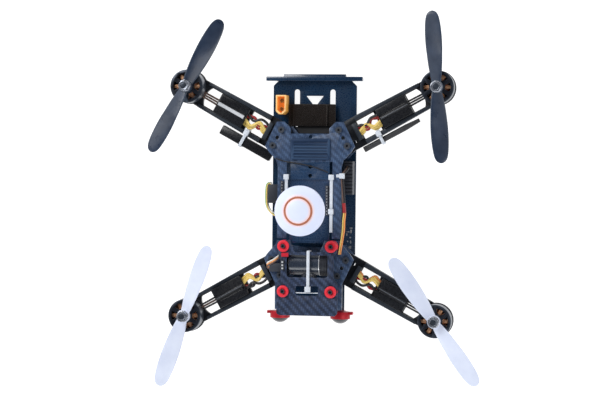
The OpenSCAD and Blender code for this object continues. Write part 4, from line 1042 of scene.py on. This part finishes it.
# %% Header pins and strap stitches
def row(name, start_mm, step_mm, count, size_mm, material, body="airframe"):
    group, given = new_growth(name + "_row", [("Count", "Int"), ("Start", "Vector"), ("Step", "Vector"),
                                              ("Size", "Vector")])
    line = made_node(group, "GeometryNodeMeshLine",
                     {"Count": given["Count"], "Start Location": given["Start"], "Offset": given["Step"]})
    pin = made_node(group, "GeometryNodeMeshCube", {"Size": given["Size"]})
    placed = made_node(group, "GeometryNodeInstanceOnPoints", {"Points": line.outputs[0],
                                                               "Instance": pin.outputs["Mesh"]})
    mesh = grow(group, placed.outputs[0], name, {"Count": count, "Start": [c * MM for c in start_mm],
                                                 "Step": [c * MM for c in step_mm],
                                                 "Size": [c * MM for c in size_mm]}, material)
    return as_piece(name, mesh, None, body)


DECK_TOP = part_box("centre_deck")[0].z / MM + 1.6
CAMERA_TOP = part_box("camera_plate")[1].z / MM
row("deck_pins", (15, -9.4, DECK_TOP + 2.5), (0, 2.54, 0), 10, (0.8, 0.8, 0.6), SOLDER)
row("rail_pins", (-23.1, -5.8, PLATE_TOP + 1.7), (0, 2.54, 0), 10, (0.8, 0.8, 0.6), SOLDER)
row("camera_pins", (-20.6, -55.0, CAMERA_TOP + 1.8), (0, 2.6, 0), 3, (1.3, 1.3, 0.8), PIN_METAL)
row("strap_stitches", (11.0, STRAP_Y - 8.4, strap_high.z / MM - 0.12), (0, 1.4, 0), 13,
    (0.3, 0.9, 0.2), STITCH)
print("pins: 23, stitches: 13")

# %% [markdown]
# ## Small parts on the boards
# Three plain things remain. Solder pads are thin tinned plates on the base board, the shrunk
# sleeve of each speed controller shows the ridge of the capacitor beneath it, and a small red
# plug sits on the camera plate. The ridge is painted grey as a highlight along the crest of the
# black sleeve, and a brighter pale grey on the rear left one. Blocks with their edges bevelled are enough
# here.

# %% Solder pads, controller ridges and red plug
work = bmesh.new()
PADS = [(32.2, -21.6, 2.4, 1.0), (32.2, -24.4, 1.2, 3.0), (29.6, -24.8, 2.6, 0.9),
        (28.6, -27.2, 1.0, 2.2), (31.6, -29.6, 1.4, 1.0), (31.9, -33.4, 1.2, 2.2),
        (29.4, -33.0, 1.0, 1.4), (31.4, -38.0, 2.2, 2.2)]
for x, y, w, h in PADS:
    block(work, (x - w / 2, y - h / 2, 5.55), (x + w / 2, y + h / 2, 5.72))
bmesh.ops.bevel(work, geom=list(work.edges), offset=0.00005, segments=1, affect="EDGES")
as_piece("board_solder", finished_mesh(work, "board_solder", [SOLDER]), None, "airframe")


def ridge(corner, material):
    work = bmesh.new()
    radius, z = (1.6, 5.12) if corner == "rear_left" else (1.02, 5.55)
    swept(work, [on_arm(corner, x, 0, z) for x in (35.2, 38, 45, 55, 60.4)], radius, 0, 16, 4)
    as_piece(corner + "_esc_ridge", finished_mesh(work, corner + "_esc_ridge", [material], 60), None,
             BODY_OF[corner + "_esc"])


for corner in CORNERS:
    # Painted highlight: the grey ridge colour stands in for light along the sleeve's crest; the rear left
    # ridge is painted a brighter pale grey.
    ridge(corner, RIDGE_BRIGHT if corner == "rear_left" else RIDGE_HIGHLIGHT_GREY)
work = bmesh.new()
block(work, (-21.68, -45.38, CAMERA_TOP + 0.02), (-15.52, -41.82, CAMERA_TOP + 2.08))
bmesh.ops.bevel(work, geom=list(work.edges), offset=0.0003, segments=2, affect="EDGES")
as_piece("red_plug", finished_mesh(work, "red_plug", [ANODISED_RED]), None, "airframe")
print("pads:", len(PADS), "ridges: 4, plugs: 1")

# %% Bounds of everything but the floor
low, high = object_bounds()
